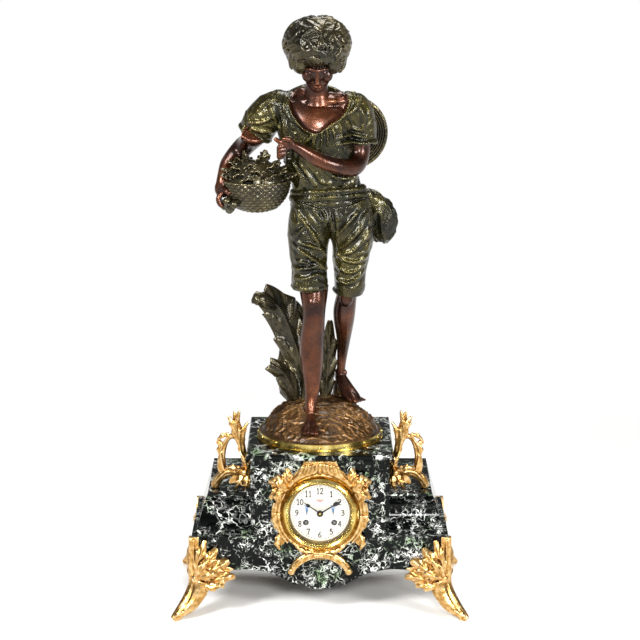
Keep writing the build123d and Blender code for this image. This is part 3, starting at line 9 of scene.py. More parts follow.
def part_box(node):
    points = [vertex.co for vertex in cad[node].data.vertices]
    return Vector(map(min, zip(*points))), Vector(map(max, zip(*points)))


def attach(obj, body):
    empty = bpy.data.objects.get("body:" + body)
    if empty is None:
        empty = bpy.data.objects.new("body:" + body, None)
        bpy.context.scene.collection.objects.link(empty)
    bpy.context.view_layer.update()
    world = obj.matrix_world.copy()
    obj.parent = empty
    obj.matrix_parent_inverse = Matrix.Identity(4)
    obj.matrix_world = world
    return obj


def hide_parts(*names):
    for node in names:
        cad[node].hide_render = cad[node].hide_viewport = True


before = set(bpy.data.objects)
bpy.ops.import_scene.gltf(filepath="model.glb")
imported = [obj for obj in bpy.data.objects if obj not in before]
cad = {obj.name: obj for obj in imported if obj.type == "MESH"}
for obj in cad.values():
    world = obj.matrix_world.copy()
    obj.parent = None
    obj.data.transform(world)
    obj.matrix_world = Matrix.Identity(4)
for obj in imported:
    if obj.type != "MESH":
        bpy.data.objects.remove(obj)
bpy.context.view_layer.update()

# Camera
# A pinhole fitted to the photograph: 2.61 m in front of the clock, a little over a metre up and
# looking 13.5 degrees down, so that the slab's top and the mound show.
def in_scene(name, data):
    """Puts a new object with this data in the scene, at the origin."""
    made = bpy.data.objects.new(name, data)
    bpy.context.scene.collection.objects.link(made)
    return made


camera_away, camera_up, camera_tilt = 2.610, 1.049, 13.5
sensor, focal_length_px, picture_px = 36.0, 1835, 640
camera = in_scene("camera", bpy.data.cameras.new("camera"))
camera.location = (0.0, -camera_away, camera_up)
camera.rotation_euler = (radians(90 - camera_tilt), 0.0, 0.0)
camera.data.sensor_width = sensor
camera.data.lens = sensor * focal_length_px / picture_px
bpy.context.scene.camera = camera


# Studio
# A pale floor that runs out to plain white, a soft lamp on each side, one in front and one above
# and behind, and a grey room that the polished metal can reflect.
def colour(hex_code):
    """The linear colour of an sRGB hex code."""
    parts = [int(hex_code[i:i + 2], 16) / 255 for i in (1, 3, 5)]
    return [p / 12.92 if p <= 0.04045 else ((p + 0.055) / 1.055) ** 2.4 for p in parts] + [1.0]


def feed(tree, node, inputs):
    """Gives a node's inputs their values, or links them to a socket or a node's first output."""
    for name, value in inputs.items():
        if isinstance(value, bpy.types.Node):
            value = value.outputs[0]
        if isinstance(value, bpy.types.NodeSocket):
            tree.links.new(value, node.inputs[name])
        else:
            node.inputs[name].default_value = value


def add_node(tree, kind, inputs=None, **settings):
    """Adds a node with its settings, the stops of a colour ramp among them, and its inputs."""
    added = tree.nodes.new(kind)
    for name, value in settings.items():
        if name == "stops":
            stops = added.color_ramp.elements
            while len(stops) < len(value):
                stops.new(0.5)
            for stop, (place, hex_code) in zip(stops, value):
                stop.position = place
                stop.color = colour(hex_code)
        else:
            setattr(added, name, value)
    feed(tree, added, inputs or {})
    return added


def new_material(name):
    """A material, its tree and surface node, and the place on the piece that its patterns
    follow. Their scales are per metre, so that a scale of 100 gives patches of 10 mm."""
    made = bpy.data.materials.new(name)
    made.use_nodes = True
    tree = made.node_tree
    place = add_node(tree, "ShaderNodeTexCoord").outputs["Object"]
    return made, tree, tree.nodes["Principled BSDF"], place


# Matt white paint: plain white to the eye beyond 1.3 m, and by the clock a dull white that
# takes its shadow.
floor_paint, tree, surface, place = new_material("matt_white_paint")
tree.nodes.remove(surface)
shadow_reach, white_from = 0.35, 1.3
away = add_node(tree, "ShaderNodeVectorMath", {0: place}, operation="LENGTH").outputs["Value"]
fade = add_node(tree, "ShaderNodeMapRange", {0: away, 1: shadow_reach, 2: white_from},
                interpolation_type="SMOOTHSTEP")
rays = add_node(tree, "ShaderNodeLightPath").outputs
seen = rays["Is Camera Ray"]
for ray in ("Is Glossy Ray", "Is Transmission Ray"):
    seen = add_node(tree, "ShaderNodeMath", {0: seen, 1: rays[ray]}, operation="MAXIMUM")
plain = add_node(tree, "ShaderNodeMath", {0: seen, 1: fade}, operation="MULTIPLY")
matt = add_node(tree, "ShaderNodeBsdfDiffuse", {"Color": colour("#F6F5F2")})
white = add_node(tree, "ShaderNodeEmission", {"Color": colour("#FFFFFF"), "Strength": 1.0})
mixed = add_node(tree, "ShaderNodeMixShader", {0: plain, 1: matt, 2: white})
feed(tree, tree.nodes["Material Output"], {"Surface": mixed})

floor_mesh = bpy.data.meshes.new("floor")
floor_mesh.from_pydata([(-30, -30, 0), (30, -30, 0), (30, 60, 0), (-30, 60, 0)], [], [(0, 1, 2, 3)])
floor_mesh.materials.append(floor_paint)
in_scene("floor", floor_mesh)

room = bpy.data.worlds.new("room")
room.use_nodes = True
bpy.context.scene.world = room
tree = room.node_tree
tree.nodes.clear()
up = add_node(tree, "ShaderNodeTexCoord").outputs["Generated"]
height = add_node(tree, "ShaderNodeSeparateXYZ", {0: up}).outputs["Z"]
shade = add_node(tree, "ShaderNodeValToRGB", {0: height}, stops=[
    (0.0, "#B4B4B4"), (0.5, "#48484A"), (0.72, "#5C5C5E"), (1.0, "#D8D8D8")])
sky = add_node(tree, "ShaderNodeBackground", {"Color": shade, "Strength": 0.9})
plain = add_node(tree, "ShaderNodeBackground", {"Color": colour("#FFFFFF")})
seen = add_node(tree, "ShaderNodeLightPath").outputs["Is Camera Ray"]
mixed = add_node(tree, "ShaderNodeMixShader", {0: seen, 1: sky, 2: plain})
add_node(tree, "ShaderNodeOutputWorld", {"Surface": mixed})

for name, at, aim, size, power in (
    ("left_softbox", (-1.5, -1.9, 1.9), (0.0, 0.0, 0.45), 0.8, 90.0),
    ("right_softbox", (1.7, -1.6, 1.3), (0.0, 0.0, 0.45), 0.7, 48.0),
    ("front_softbox", (0.35, -2.9, 1.6), (0.0, 0.0, 0.35), 0.6, 62.0),
    ("top_softbox", (0.2, 0.9, 2.3), (0.0, 0.0, 0.40), 1.1, 24.0),
):
    lamp = in_scene(name, bpy.data.lights.new(name, "AREA"))
    lamp.data.shape = "DISK"
    lamp.data.size = size
    lamp.data.energy = power
    lamp.location = at
    lamp.rotation_euler = (Vector(aim) - Vector(at)).to_track_quat("-Z", "Y").to_euler()


# Marble case
# Six sawn and polished pieces of one dark green marble, cemented together: front panel, plinth,
# two coved wings, back panel and top slab. Each was cut from another part of the block.
def marble(name, shift, turn, cloud, size):
    """Polished brecciated marble: near-black green, broken by pale veins 1 to 3 mm wide. The
    polish gives sharp reflections; cloud is how much grey-green haze lies between the veins,
    and size how coarse the piece is against the front panel."""
    stone, tree, polish, place = new_material(name)
    bend_reach = 0.026
    block = add_node(tree, "ShaderNodeMapping", {"Vector": place, "Location": shift, "Rotation": turn})
    flow = add_node(tree, "ShaderNodeTexNoise",
                    {"Vector": block, "Scale": 75.0, "Detail": 3.0}).outputs["Color"]
    flow = add_node(tree, "ShaderNodeVectorMath", {0: flow, 1: (0.5, 0.5, 0.5)}, operation="SUBTRACT")
    flow = add_node(tree, "ShaderNodeVectorMath", {0: flow, 3: bend_reach}, operation="SCALE")
    bent = add_node(tree, "ShaderNodeVectorMath", {0: block, 1: flow}, operation="ADD")
    # Four nets of veins: metres between veins, their width as a share of that, and the scale and
    # the threshold of the patches in which they show.
    pale = None
    for spacing, width, patch, low, high in (
        (0.015, 0.045, 40.0, 0.49, 0.58), (0.0085, 0.070, 50.0, 0.51, 0.60),
        (0.0048, 0.10, 60.0, 0.56, 0.66), (0.045, 0.018, 12.0, 0.46, 0.55),
    ):
        edge = add_node(tree, "ShaderNodeTexVoronoi", {"Vector": bent, "Scale": 1 / spacing / size},
                        feature="DISTANCE_TO_EDGE").outputs["Distance"]
        vein = add_node(tree, "ShaderNodeMapRange", {0: edge, 1: width * 0.35, 2: width, 3: 1.0, 4: 0.0})
        where = add_node(tree, "ShaderNodeTexNoise",
                         {"Vector": block, "Scale": patch / size, "Detail": 4.0, "Roughness": 0.65})
        where = add_node(tree, "ShaderNodeMapRange", {0: where, 1: low, 2: high})
        vein = add_node(tree, "ShaderNodeMath", {0: vein, 1: where}, operation="MULTIPLY")
        pale = add_node(tree, "ShaderNodeMath", {0: pale, 1: vein}, operation="MAXIMUM") if pale else vein
    gaps = add_node(tree, "ShaderNodeTexNoise", {"Vector": bent, "Scale": 150.0 / size, "Detail": 2.0})
    gaps = add_node(tree, "ShaderNodeMapRange", {0: gaps, 1: 0.40, 2: 0.54, 3: 0.12, 4: 1.0})
    pale = add_node(tree, "ShaderNodeMath", {0: pale, 1: gaps}, operation="MULTIPLY")
    haze = add_node(tree, "ShaderNodeTexNoise",
                    {"Vector": bent, "Scale": 42.0, "Detail": 6.0, "Roughness": 0.7})
    ground = add_node(tree, "ShaderNodeValToRGB", {0: haze}, stops=[
        (0.48, "#030404"), (0.62 + (1 - cloud) * 0.06, "#0A0F0B"), (0.80 + (1 - cloud) * 0.08, "#2A382E")])
    tint = add_node(tree, "ShaderNodeTexNoise", {"Vector": block, "Scale": 30.0, "Detail": 2.0})
    chalk = add_node(tree, "ShaderNodeValToRGB", {0: tint}, stops=[
        (0.36, "#7C9270"), (0.46, "#C4CCC0"), (0.58, "#ECEEE8")])
    tone = add_node(tree, "ShaderNodeMix", {0: pale, 6: ground, 7: chalk}, data_type="RGBA").outputs[2]
    feed(tree, polish, {"Base Color": tone, "Roughness": 0.12, "IOR": 1.22})
    return stone


def made_of(material, *names):
    """Gives CAD nodes their material."""
    for name in names:
        for slot in cad[name].material_slots:
            slot.material = material


for name, shift, turn, cloud, size in (
    ("front_panel", (0.10, 0.30, 0.20), (0.0, 0.35, 0.0), 1.0, 1.0),
    ("plinth", (0.70, 0.10, 0.50), (0.2, 0.0, 0.1), 0.7, 1.0),
    ("back_panel", (0.20, 0.80, 0.10), (0.0, 0.0, 0.3), 0.7, 1.0),
    ("right_wing", (0.42, 0.20, 0.93), (0.0, 0.5, 0.0), 0.8, 1.1),
    ("left_wing", (0.90, 0.60, 0.35), (0.4, 0.0, 0.2), 0.4, 1.4),
    ("top_slab", (0.35, 0.95, 0.60), (0.0, 0.2, 0.5), 0.7, 2.2),
):
    made_of(marble("polished_marble_" + name, shift, turn, cloud, size), name)


# Gilt mounts
# Feet, handles and the frame round the dial are cast, chased and gilt, then lacquered: a satin
# ochre gold that is reddish in the hollows and bright where it was burnished, with painted
# shade darkening the hollows and painted highlights on the raised edges.
def cast_finish(name, stops, clouds, drift, grain, rough, tooth):
    """The finish of a casting. Its colour follows the stored relief, from 0 in the hollows to 1
    on the raised edges, and drifts in clouds; a fine grain roughens it between two values. The
    dark end is painted shade in the hollows as well as their own darker metal, and the pale
    end is painted highlights on the edges as well as their rubbing."""
    metal, tree, surface, place = new_material(name)
    relief = add_node(tree, "ShaderNodeAttribute", attribute_name="relief").outputs["Fac"]
    clouds = add_node(tree, "ShaderNodeTexNoise", {"Vector": place, **clouds})
    clouds = add_node(tree, "ShaderNodeMapRange", {0: clouds, 1: 0.3, 2: 0.7, 3: -drift, 4: drift})
    tone = add_node(tree, "ShaderNodeMath", {0: relief, 1: clouds}, operation="ADD")
    tone = add_node(tree, "ShaderNodeValToRGB", {0: tone}, stops=stops)
    grain = add_node(tree, "ShaderNodeTexNoise", {"Vector": place, **grain})
    matt = add_node(tree, "ShaderNodeMapRange", {0: grain, 1: 0.3, 2: 0.7, 3: rough[0], 4: rough[1]})
    bump = add_node(tree, "ShaderNodeBump", {"Height": grain, "Strength": tooth, "Distance": 0.0004})
    feed(tree, surface, {"Base Color": tone, "Roughness": matt, "Normal": bump, "Metallic": 1.0})
    return metal, tree, surface, place, bump


# Satin gilt: brown in the hollows, ochre gold on the open faces and pale where it was burnished.
# The brown also paints shade into the hollows, and the pale paints highlights on the edges.
satin_gilt = cast_finish("satin_gilt", [(0.16, "#543010"), (0.48, "#BA8E4E"), (0.82, "#FBE0AC")],
                         {"Scale": 160.0, "Detail": 5.0}, 0.16, {"Scale": 900.0, "Detail": 3.0},
                         (0.23, 0.37), 0.25)[0]


def sculpt(name, shape, voxel, smoothing=2):
    """Melts the closed forms of a bmesh into one skin with square faces, as in a casting."""
    rough = bpy.data.meshes.new(name + "_rough")
    shape.to_mesh(rough)
    shape.free()
    carrier = in_scene(name + "_rough", rough)
    remesh = carrier.modifiers.new("skin", "REMESH")
    remesh.mode = "VOXEL"
    remesh.voxel_size = voxel * 1.0
    smooth = carrier.modifiers.new("smooth", "SMOOTH")
    smooth.iterations = smoothing
    smooth.factor = 0.5
    skin = bpy.data.meshes.new_from_object(carrier.evaluated_get(bpy.context.evaluated_depsgraph_get()))
    bpy.data.objects.remove(carrier)
    skin.name = name
    return in_scene(name, skin)


def points_of(piece):
    """The points of a mesh and the directions that they face, as arrays."""
    mesh = piece.data
    count = len(mesh.vertices)
    at = np.empty(count * 3)
    facing = np.empty(count * 3)
    mesh.vertices.foreach_get("co", at)
    mesh.vertices.foreach_get("normal", facing)
    return at.reshape(-1, 3), facing.reshape(-1, 3)


def push_out(piece, lift):
    """Moves each point of a mesh outwards by its own lift."""
    at, facing = points_of(piece)
    piece.data.vertices.foreach_set("co", (at + facing * lift[:, None]).ravel())
    piece.data.update()


def neighbour_mean(mesh, values, rounds):
    """Each point's value averaged with its neighbours', so many times over."""
    count = len(mesh.vertices)
    ends = np.empty(len(mesh.edges) * 2, dtype=np.int64)
    mesh.edges.foreach_get("vertices", ends)
    first, second = ends[0::2], ends[1::2]
    share = np.bincount(first, minlength=count) + np.bincount(second, minlength=count)
    for _ in range(rounds):
        total = (np.bincount(first, values[second], minlength=count)
                 + np.bincount(second, values[first], minlength=count))
        values = 0.5 * values + 0.5 * total / np.maximum(share, 1)
    return values


def dress(piece, node_name, metal, reach=0.0016, rounds=12):
    """Sets a casting on the clock in its CAD node's place, smooth and in its metal, and stores
    how far each point stands above or below its surroundings. Reach is the height in metres
    that counts as fully raised, and more rounds look further around each point."""
    at, facing = points_of(piece)
    mean = np.stack([neighbour_mean(piece.data, at[:, i], rounds) for i in range(3)], axis=1)
    relief = neighbour_mean(piece.data, ((at - mean) * facing).sum(axis=1), 1)
    stored = piece.data.attributes.new("relief", "FLOAT", "POINT")
    stored.data.foreach_set("value", np.clip(0.5 + relief / reach * 0.5, 0.0, 1.0))
    piece.data.polygons.foreach_set("use_smooth", [True] * len(piece.data.polygons))
    piece.data.materials.clear()
    piece.data.materials.append(metal)
    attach(piece, "clock")
    if node_name:
        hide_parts(node_name)


def copy_of(name):
    """A merged copy of a CAD node, to be worked on."""
    shape = bmesh.new()
    shape.from_mesh(cad[name].data)
    bmesh.ops.remove_doubles(shape, verts=shape.verts, dist=0.00001)
    return shape


def on_curve(path, i, t):
    """The place at a share t of the way from a path's point i to the next, on a smooth curve."""
    a, b = path[max(i - 1, 0)], path[i]
    c, d = path[i + 1], path[min(i + 2, len(path) - 1)]
    return 0.5 * (2 * b + (c - a) * t + (2 * a - 5 * b + 4 * c - d) * t * t
                  + (3 * b - a - 3 * c + d) * t ** 3)


def add_tube(shape, path, radii, sides=10):
    """Adds a closed rod along a smooth path through the given points, with a radius at each."""
    steps = 5
    places, sizes = [], []
    for i in range(len(path) - 1):
        for k in range(steps + (i == len(path) - 2)):
            places.append(on_curve(path, i, k / steps))
            sizes.append(radii[i] + (radii[i + 1] - radii[i]) * (k / steps))
    rings = []
    for i, (centre, size) in enumerate(zip(places, sizes)):
        along = (places[min(i + 1, len(places) - 1)] - places[max(i - 1, 0)]).normalized()
        side = Vector((0, 0, 1)).cross(along)
        if side.length < 0.05:
            side = Vector((1, 0, 0)).cross(along)
        side.normalize()
        over = along.cross(side)
        rings.append([shape.verts.new(centre + side * size * cos(2 * pi * k / sides)
                                      + over * size * sin(2 * pi * k / sides)) for k in range(sides)])
    for low, high in zip(rings, rings[1:]):
        for k in range(sides):
            shape.faces.new((low[k], low[(k + 1) % sides], high[(k + 1) % sides], high[k]))
    shape.faces.new(rings[0][::-1])
    shape.faces.new(rings[-1])


def add_ball(shape, centre, radii, tip=0.0):
    """Adds an ellipsoid with three radii, tipped towards the front or the back."""
    place = Matrix.Translation(centre) @ Matrix.Rotation(tip, 4, "X") @ Matrix.Diagonal((*radii, 1.0))
    bmesh.ops.create_icosphere(shape, subdivisions=3, radius=1.0, matrix=place)


def in_mm(x, y, z):
    """A place in millimetres, as it was measured."""
    return Vector((x, y, z)) / 1000


def add_leaf(shape, path, half_widths, facing, thick, lobes, cup, depth):
    """Adds a lobed leaf as a closed solid: a middle rib along a path, an edge that rises to a
    point at every lobe, and a vein to each point. Facing is the way its upper side looks."""
    # As shares of the half width: the rib, the veins, and how far the edge sweeps to the tip.
    rib_height, rib_width, vein_height, vein_slant, sweep = 0.16, 0.13, 0.07, 0.75, 0.35
    facing = Vector(facing).normalized()
    rows, columns = 6 * lobes + 1, 13
    upper, lower = [], []
    for i in range(rows):
        t = i / (rows - 1)
        u = t * (len(path) - 1)
        k = min(int(u), len(path) - 2)
        w = u - k
        centre = on_curve(path, k, w)
        along = (path[k + 1] - path[k]).normalized()
        side = along.cross(facing).normalized()
        out = side.cross(along).normalized()
        half = half_widths[k] + (half_widths[k + 1] - half_widths[k]) * w
        phase = (t * lobes) % 1.0 if i < rows - 1 else 1.0
        edge = half * (1 - depth + depth * phase ** 1.6) if lobes > 1 else half
        for j in range(columns):
            s = 2 * j / (columns - 1) - 1
            rib = rib_height * np.exp(-(s / rib_width) ** 2) * half
            wave = cos(2 * pi * (t * lobes - abs(s) * vein_slant - 0.15))
            vein = vein_height * half * wave * min(1.0, abs(s) * 3)
            rise = rib + vein - cup * half * s * s
            spot = centre + side * s * edge + along * abs(s) * edge * sweep + out * rise
            upper.append(shape.verts.new(spot + out * thick / 2))
            lower.append(shape.verts.new(spot - out * thick / 2))
    for i in range(rows - 1):
        for j in range(columns - 1):
            a, b = i * columns + j, (i + 1) * columns + j
            shape.faces.new((upper[a], upper[a + 1], upper[b + 1], upper[b]))
            shape.faces.new((lower[a], lower[b], lower[b + 1], lower[a + 1]))
    rim = (list(range(columns)) + [i * columns + columns - 1 for i in range(1, rows)]
           + [(rows - 1) * columns + j for j in range(columns - 2, -1, -1)]
           + [i * columns for i in range(rows - 2, 0, -1)])
    for a, b in zip(rim, rim[1:] + rim[:1]):
        shape.faces.new((upper[b], upper[a], lower[a], lower[b]))


# Feet: a fan of acanthus leaves on each face of the corner, a plain strip up the edge, and a
# scrolled leg that leaves a leafy cup. One foot is modelled and the others mirror it.
def mirrored(line, side=1, back=1):
    """The places of a line in mm, or of its mirror image on the other side or at the back."""
    return [in_mm(x * side, y * back, z) for x, y, z in line]


def metres(lengths):
    """Lengths in metres from lengths in mm."""
    return [length / 1000 for length in lengths]


for name, side, back in (("front_right_foot", 1, 1), ("front_left_foot", -1, 1),
                         ("rear_right_foot", 1, -1), ("rear_left_foot", -1, -1)):
    shape = copy_of(name)
    outward = (0, -back, 0.15)
    for line, widths, lobes in (
        ([(178, -93, 56), (158, -101, 57), (140, -102, 62), (124, -95, 60)], (7, 12, 12, 2), 3),
        ([(178, -94, 60), (160, -103, 70), (146, -103, 80), (132, -95, 84)], (7, 13, 13, 2), 3),
        ([(179, -95, 63), (167, -104, 80), (158, -103, 94), (150, -95, 104)], (7, 12, 12, 2), 3),
        ([(181, -95, 66), (177, -102, 84), (172, -101, 100), (167, -95, 116)], (5, 9, 9, 2), 3),
        ([(176, -98, 54), (160, -107, 48), (148, -107, 51), (140, -100, 47)], (5, 8, 6, 2), 2),
        ([(180, -99, 58), (168, -110, 66), (158, -111, 70), (149, -104, 67)], (5, 9, 8, 2), 2),
        ([(181, -99, 60), (174, -110, 74), (168, -111, 84), (163, -104, 92)], (5, 8, 7, 2), 2),
    ):
        add_leaf(shape, mirrored(line, side, back), metres(widths), outward, thick=0.0038, lobes=lobes,
                 cup=0.28, depth=0.34)
    for line, widths in (
        ([(189, -88, 58), (193, -76, 62), (193, -64, 62), (190, -52, 56)], (5, 8, 8, 1)),
        ([(189, -90, 64), (193, -82, 80), (193, -74, 92), (190, -66, 100)], (5, 7, 7, 1)),
    ):
        add_leaf(shape, mirrored(line, side, back), metres(widths), (side, 0, 0), thick=0.0034, lobes=4,
                 cup=0.3, depth=0.4)
    for line, radii in (
        ([(171, -95, 54), (176, -98, 38), (189, -106, 19), (207, -113, 8)], (12, 12, 9, 5.5)),
        ([(187, -93, 52), (187, -94, 86), (187, -93, 118)], (3.2, 3.0, 2.4)),
        ([(183, -95, 56), (183.5, -95.5, 88), (184, -94, 116)], (1.6, 1.6, 1.2)),
        ([(186, -97, 50), (192, -103, 34), (200, -111, 20), (210, -118, 8)], (2.4, 2.2, 2.0, 1.4)),
        ([(196, -116, 16), (203, -120.5, 13), (211, -120.5, 8), (208, -120, 4)], (1.2, 1.7, 1.7, 1.2)),
    ):
        add_tube(shape, mirrored(line, side, back), metres(radii))
    add_ball(shape, mirrored([(181, -99, 58)], side, back)[0], [0.0060, 0.0060, 0.0070])
    dress(sculpt(name + "_casting", shape, voxel=0.0008), name, satin_gilt)

# Handles: a branch with an open loop, a split leaf at the stem's top and a cluster at its root.
for name, side in (("right_handle", 1), ("left_handle", -1)):
    shape = copy_of(name)
    for line, widths, face in (
        ([(110, -52, 222), (116, -55, 246), (122, -56, 272), (117, -53, 300)], (4, 6, 9, 1), (0, -1, 0)),
        ([(118, -52, 256), (124, -55, 270), (128, -56, 282), (133, -54, 292)], (3, 6, 7, 1), (0.2, -1, 0)),
        ([(114, -50, 240), (112, -52, 258), (110, -52, 272), (104, -50, 282)], (3, 5, 5, 1), (-0.3, -1, 0)),
        ([(128, -52, 258), (136, -55, 264), (143, -56, 262), (150, -53, 254)], (3, 5, 5, 1), (0, -1, 0.2)),
        ([(140, -52, 252), (146, -54, 246), (148, -54, 240), (146, -52, 232)], (3, 4, 4, 1), (0.2, -1, 0)),
        ([(108, -56, 208), (114, -62, 200), (119, -63, 192), (123, -58, 182)], (4, 7, 7, 1), (0, -1, 0)),
        ([(106, -57, 206), (106, -64, 196), (108, -64, 188), (112, -58, 179)], (4, 6, 6, 1), (0, -1, 0)),
        ([(108, -56, 210), (120, -61, 214), (128, -62, 216), (138, -57, 214)], (4, 6, 6, 1), (0, -1, 0)),
        ([(106, -56, 212), (108, -61, 222), (111, -61, 230), (117, -56, 238)], (4, 6, 5, 1), (0, -1, 0)),
    ):
        add_leaf(shape, mirrored(line, side), metres(widths), (face[0] * side, *face[1:]), thick=0.0032,
                 lobes=3, cup=0.3, depth=0.42)
    for line, radii in (
        ([(157, -54, 184), (148, -55, 198), (136, -56, 208), (118, -57, 208)], (1.6, 2.2, 2.4, 2.0)),
        ([(139, -54, 206), (144, -54, 226), (144, -54, 244), (134, -54, 260)], (1.6, 2.0, 2.0, 1.6)),
        ([(107, -54, 206), (112, -55, 226), (118, -55, 248), (122, -54, 266)], (1.6, 2.2, 2.2, 1.6)),
    ):
        add_tube(shape, mirrored(line, side), metres(radii))
    add_ball(shape, in_mm(147 * side, -51, 251), [0.0045] * 3)
    add_ball(shape, in_mm(110 * side, -60, 208), [0.0055] * 3)
    dress(sculpt(name + "_casting", shape, voxel=0.0008), name, satin_gilt)

# Surround of the dial: fluted crest, two leaf sprays, fronds down both sides of the bezel with a
# small scroll leaf at the foot of each, and two crossed stems bound with a ribbed band.
shape = copy_of("dial_surround")
dial_low, dial_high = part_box("dial")
dial_height = (dial_low[2] + dial_high[2]) * 500
crest_radius, side_ribs = 61, 5
for k in range(-side_ribs, side_ribs + 1):
    turn = radians(90 - k * 11)
    add_tube(shape, [in_mm(crest_radius * cos(turn), -96, dial_height + crest_radius * sin(turn)),
                     in_mm(k * 6.4, -98.5, dial_height + 67 - abs(k) * 2.2),
                     in_mm(k * 5.0, -97.5, dial_height + 76 - abs(k) * 0.9)], [0.0030, 0.0026, 0.0022])
for side in (-1, 1):
    for line, widths, face in (
        ([(42, -95, 204), (46, -101, 212), (47, -102, 218), (46, -97, 227)], (6, 11, 9, 2), (0, -1, 0.1)),
        ([(44, -95, 200), (55, -103, 206), (62, -104, 209), (73, -97, 205)], (6, 12, 11, 2), (0, -1, 0)),
        ([(48, -95, 192), (58, -102, 194), (64, -102, 190), (72, -97, 181)], (6, 10, 9, 2), (0, -1, 0)),
        ([(46, -99, 196), (54, -107, 202), (58, -108, 210), (60, -103, 218)], (5, 8, 7, 2), (0, -1, 0.1)),
        ([(48, -98, 194), (57, -106, 193), (61, -106, 184), (60, -101, 175)], (5, 8, 7, 2), (0, -1, 0)),
        ([(58, -95, 138), (64, -99, 144), (67, -99, 150), (66, -96, 158)], (3, 5, 5, 1), (0, -1, 0)),
        ([(56, -95, 128), (61, -100, 120), (62, -100, 112), (58, -96, 103)], (3, 6, 5, 1), (0, -1, 0)),
        ([(10, -96, 98), (20, -100, 100), (28, -100, 104), (36, -96, 108)], (3, 4, 4, 1), (0, -1, 0.2)),
    ):
        add_leaf(shape, mirrored(line, side), metres(widths), face, thick=0.0036, lobes=3, cup=0.28,
                 depth=0.34)
    for radius, first, last, thick in ((59.5, 38, -66, 2.4), (64.5, 24, -44, 2.8), (68.5, 14, -20, 2.0)):
        turns = [radians(first + (last - first) * k / 6) for k in range(7)]
        add_tube(shape, [in_mm(side * radius * cos(t), -97.5, dial_height + radius * sin(t)) for t in turns],
                 [thick * (0.4 + 0.6 * sin(pi * (k + 0.5) / 7)) / 1000 for k in range(7)])
    for k in range(3):
        over = (k - 1) * 3.2
        stem = [(4, -103, 96 + over), (17, -104, 93 + over), (31, -104, 84 + over), (40, -103, 72 + over)]
        add_tube(shape, mirrored(stem, side), [0.0013] * 4)
    add_ball(shape, in_mm(41.5 * side, -99, 70), [0.0056, 0.0050, 0.0056])
    add_ball(shape, in_mm(51 * side, -101, 197), [0.0055] * 3)
for k in range(5):
    across = (k - 2) * 3.2
    add_tube(shape, [in_mm(across, -98, 104), in_mm(across * 1.1, -105, 97), in_mm(across, -98, 88)],
             [0.0018, 0.0021, 0.0016])
dress(sculpt("surround_casting", shape, voxel=0.0008), "dial_surround", satin_gilt)


# Bezel, dial and hands
# Spun and polished brass round an enamelled dial, behind a bevelled glass in a hinged door. The
# hands are blued nearly black.
def worked_metal(name, stops, clouds, marks, rough, swing):
    """Turned, polished or blued metal: its colour drifts in clouds, and fine marks, each given
    as the scale and detail of a pattern, swing its roughness either way."""
    metal, tree, surface, place = new_material(name)
    clouds = add_node(tree, "ShaderNodeTexNoise", {"Vector": place, "Scale": clouds[0], "Detail": clouds[1]})
    tone = add_node(tree, "ShaderNodeValToRGB", {0: clouds}, stops=stops)
    marks = add_node(tree, "ShaderNodeTexNoise", {"Vector": place, "Scale": marks[0], "Detail": marks[1]})
    matt = add_node(tree, "ShaderNodeMapRange",
                    {0: marks, 1: 0.3, 2: 0.7, 3: rough - swing, 4: rough + swing})
    feed(tree, surface, {"Base Color": tone, "Roughness": matt, "Metallic": 1.0})
    return metal


def brass(name, dark, middle, light, rough):
    """Turned brass or bell metal: yellow, tarnished in patches of 17 mm and finely scratched."""
    return worked_metal(name, [(0.3, dark), (0.55, middle), (0.8, light)], (60.0, 4.0), (1400.0, 2.0), rough,
                        0.05)


def steel(name, dark, light):
    """Turned or blued steel: even in colour, with fine marks that roughen it a little."""
    return worked_metal(name, [(0.3, dark), (0.7, light)], (500.0, 4.0), (500.0, 4.0), 0.3, 0.06)


def vitreous(name, stops, scale, detail, rough):
    """Fired glass paint or enamel: glossy and opaque, a little uneven in tone."""
    made, tree, surface, place = new_material(name)
    clouds = add_node(tree, "ShaderNodeTexNoise", {"Vector": place, "Scale": scale, "Detail": detail})
    tone = add_node(tree, "ShaderNodeValToRGB", {0: clouds}, stops=stops)
    feed(tree, surface, {"Base Color": tone, "Roughness": rough})
    return made


bezel_brass = brass("polished_brass", "#9C8446", "#CDB466", "#EADFA4", 0.22)
made_of(bezel_brass, "bezel_ring", "bezel_door", "mound_ring")
made_of(brass("matted_brass", "#4E3C12", "#7A6224", "#96803A", 0.4), "sight_ring")
made_of(vitreous("white_enamel", [(0.3, "#F6F0E2"), (0.7, "#FCF8EE")], 45.0, 2.0, 0.12), "dial")
made_of(steel("blued_steel", "#08080A", "#16161C"), "hour_hand", "minute_hand")

# Clear glass: a faint haze of dust in the reflection, which grows towards the edge of the view.
glass, tree, surface, place = new_material("bevelled_glass")
tree.nodes.remove(surface)
dust = add_node(tree, "ShaderNodeTexNoise", {"Vector": place, "Scale": 300.0, "Detail": 2.0})
haze = add_node(tree, "ShaderNodeMapRange", {0: dust, 1: 0.4, 2: 0.9, 3: 0.0, 4: 0.03})
shine = add_node(tree, "ShaderNodeBsdfGlossy", {"Roughness": haze})
clear = add_node(tree, "ShaderNodeBsdfTransparent", {"Color": colour("#FFFFFF")})
edge_on = add_node(tree, "ShaderNodeFresnel", {"IOR": 1.35})
mixed = add_node(tree, "ShaderNodeMixShader", {0: edge_on, 1: clear, 2: shine})
feed(tree, tree.nodes["Material Output"], {"Surface": mixed})
made_of(glass, "crystal")

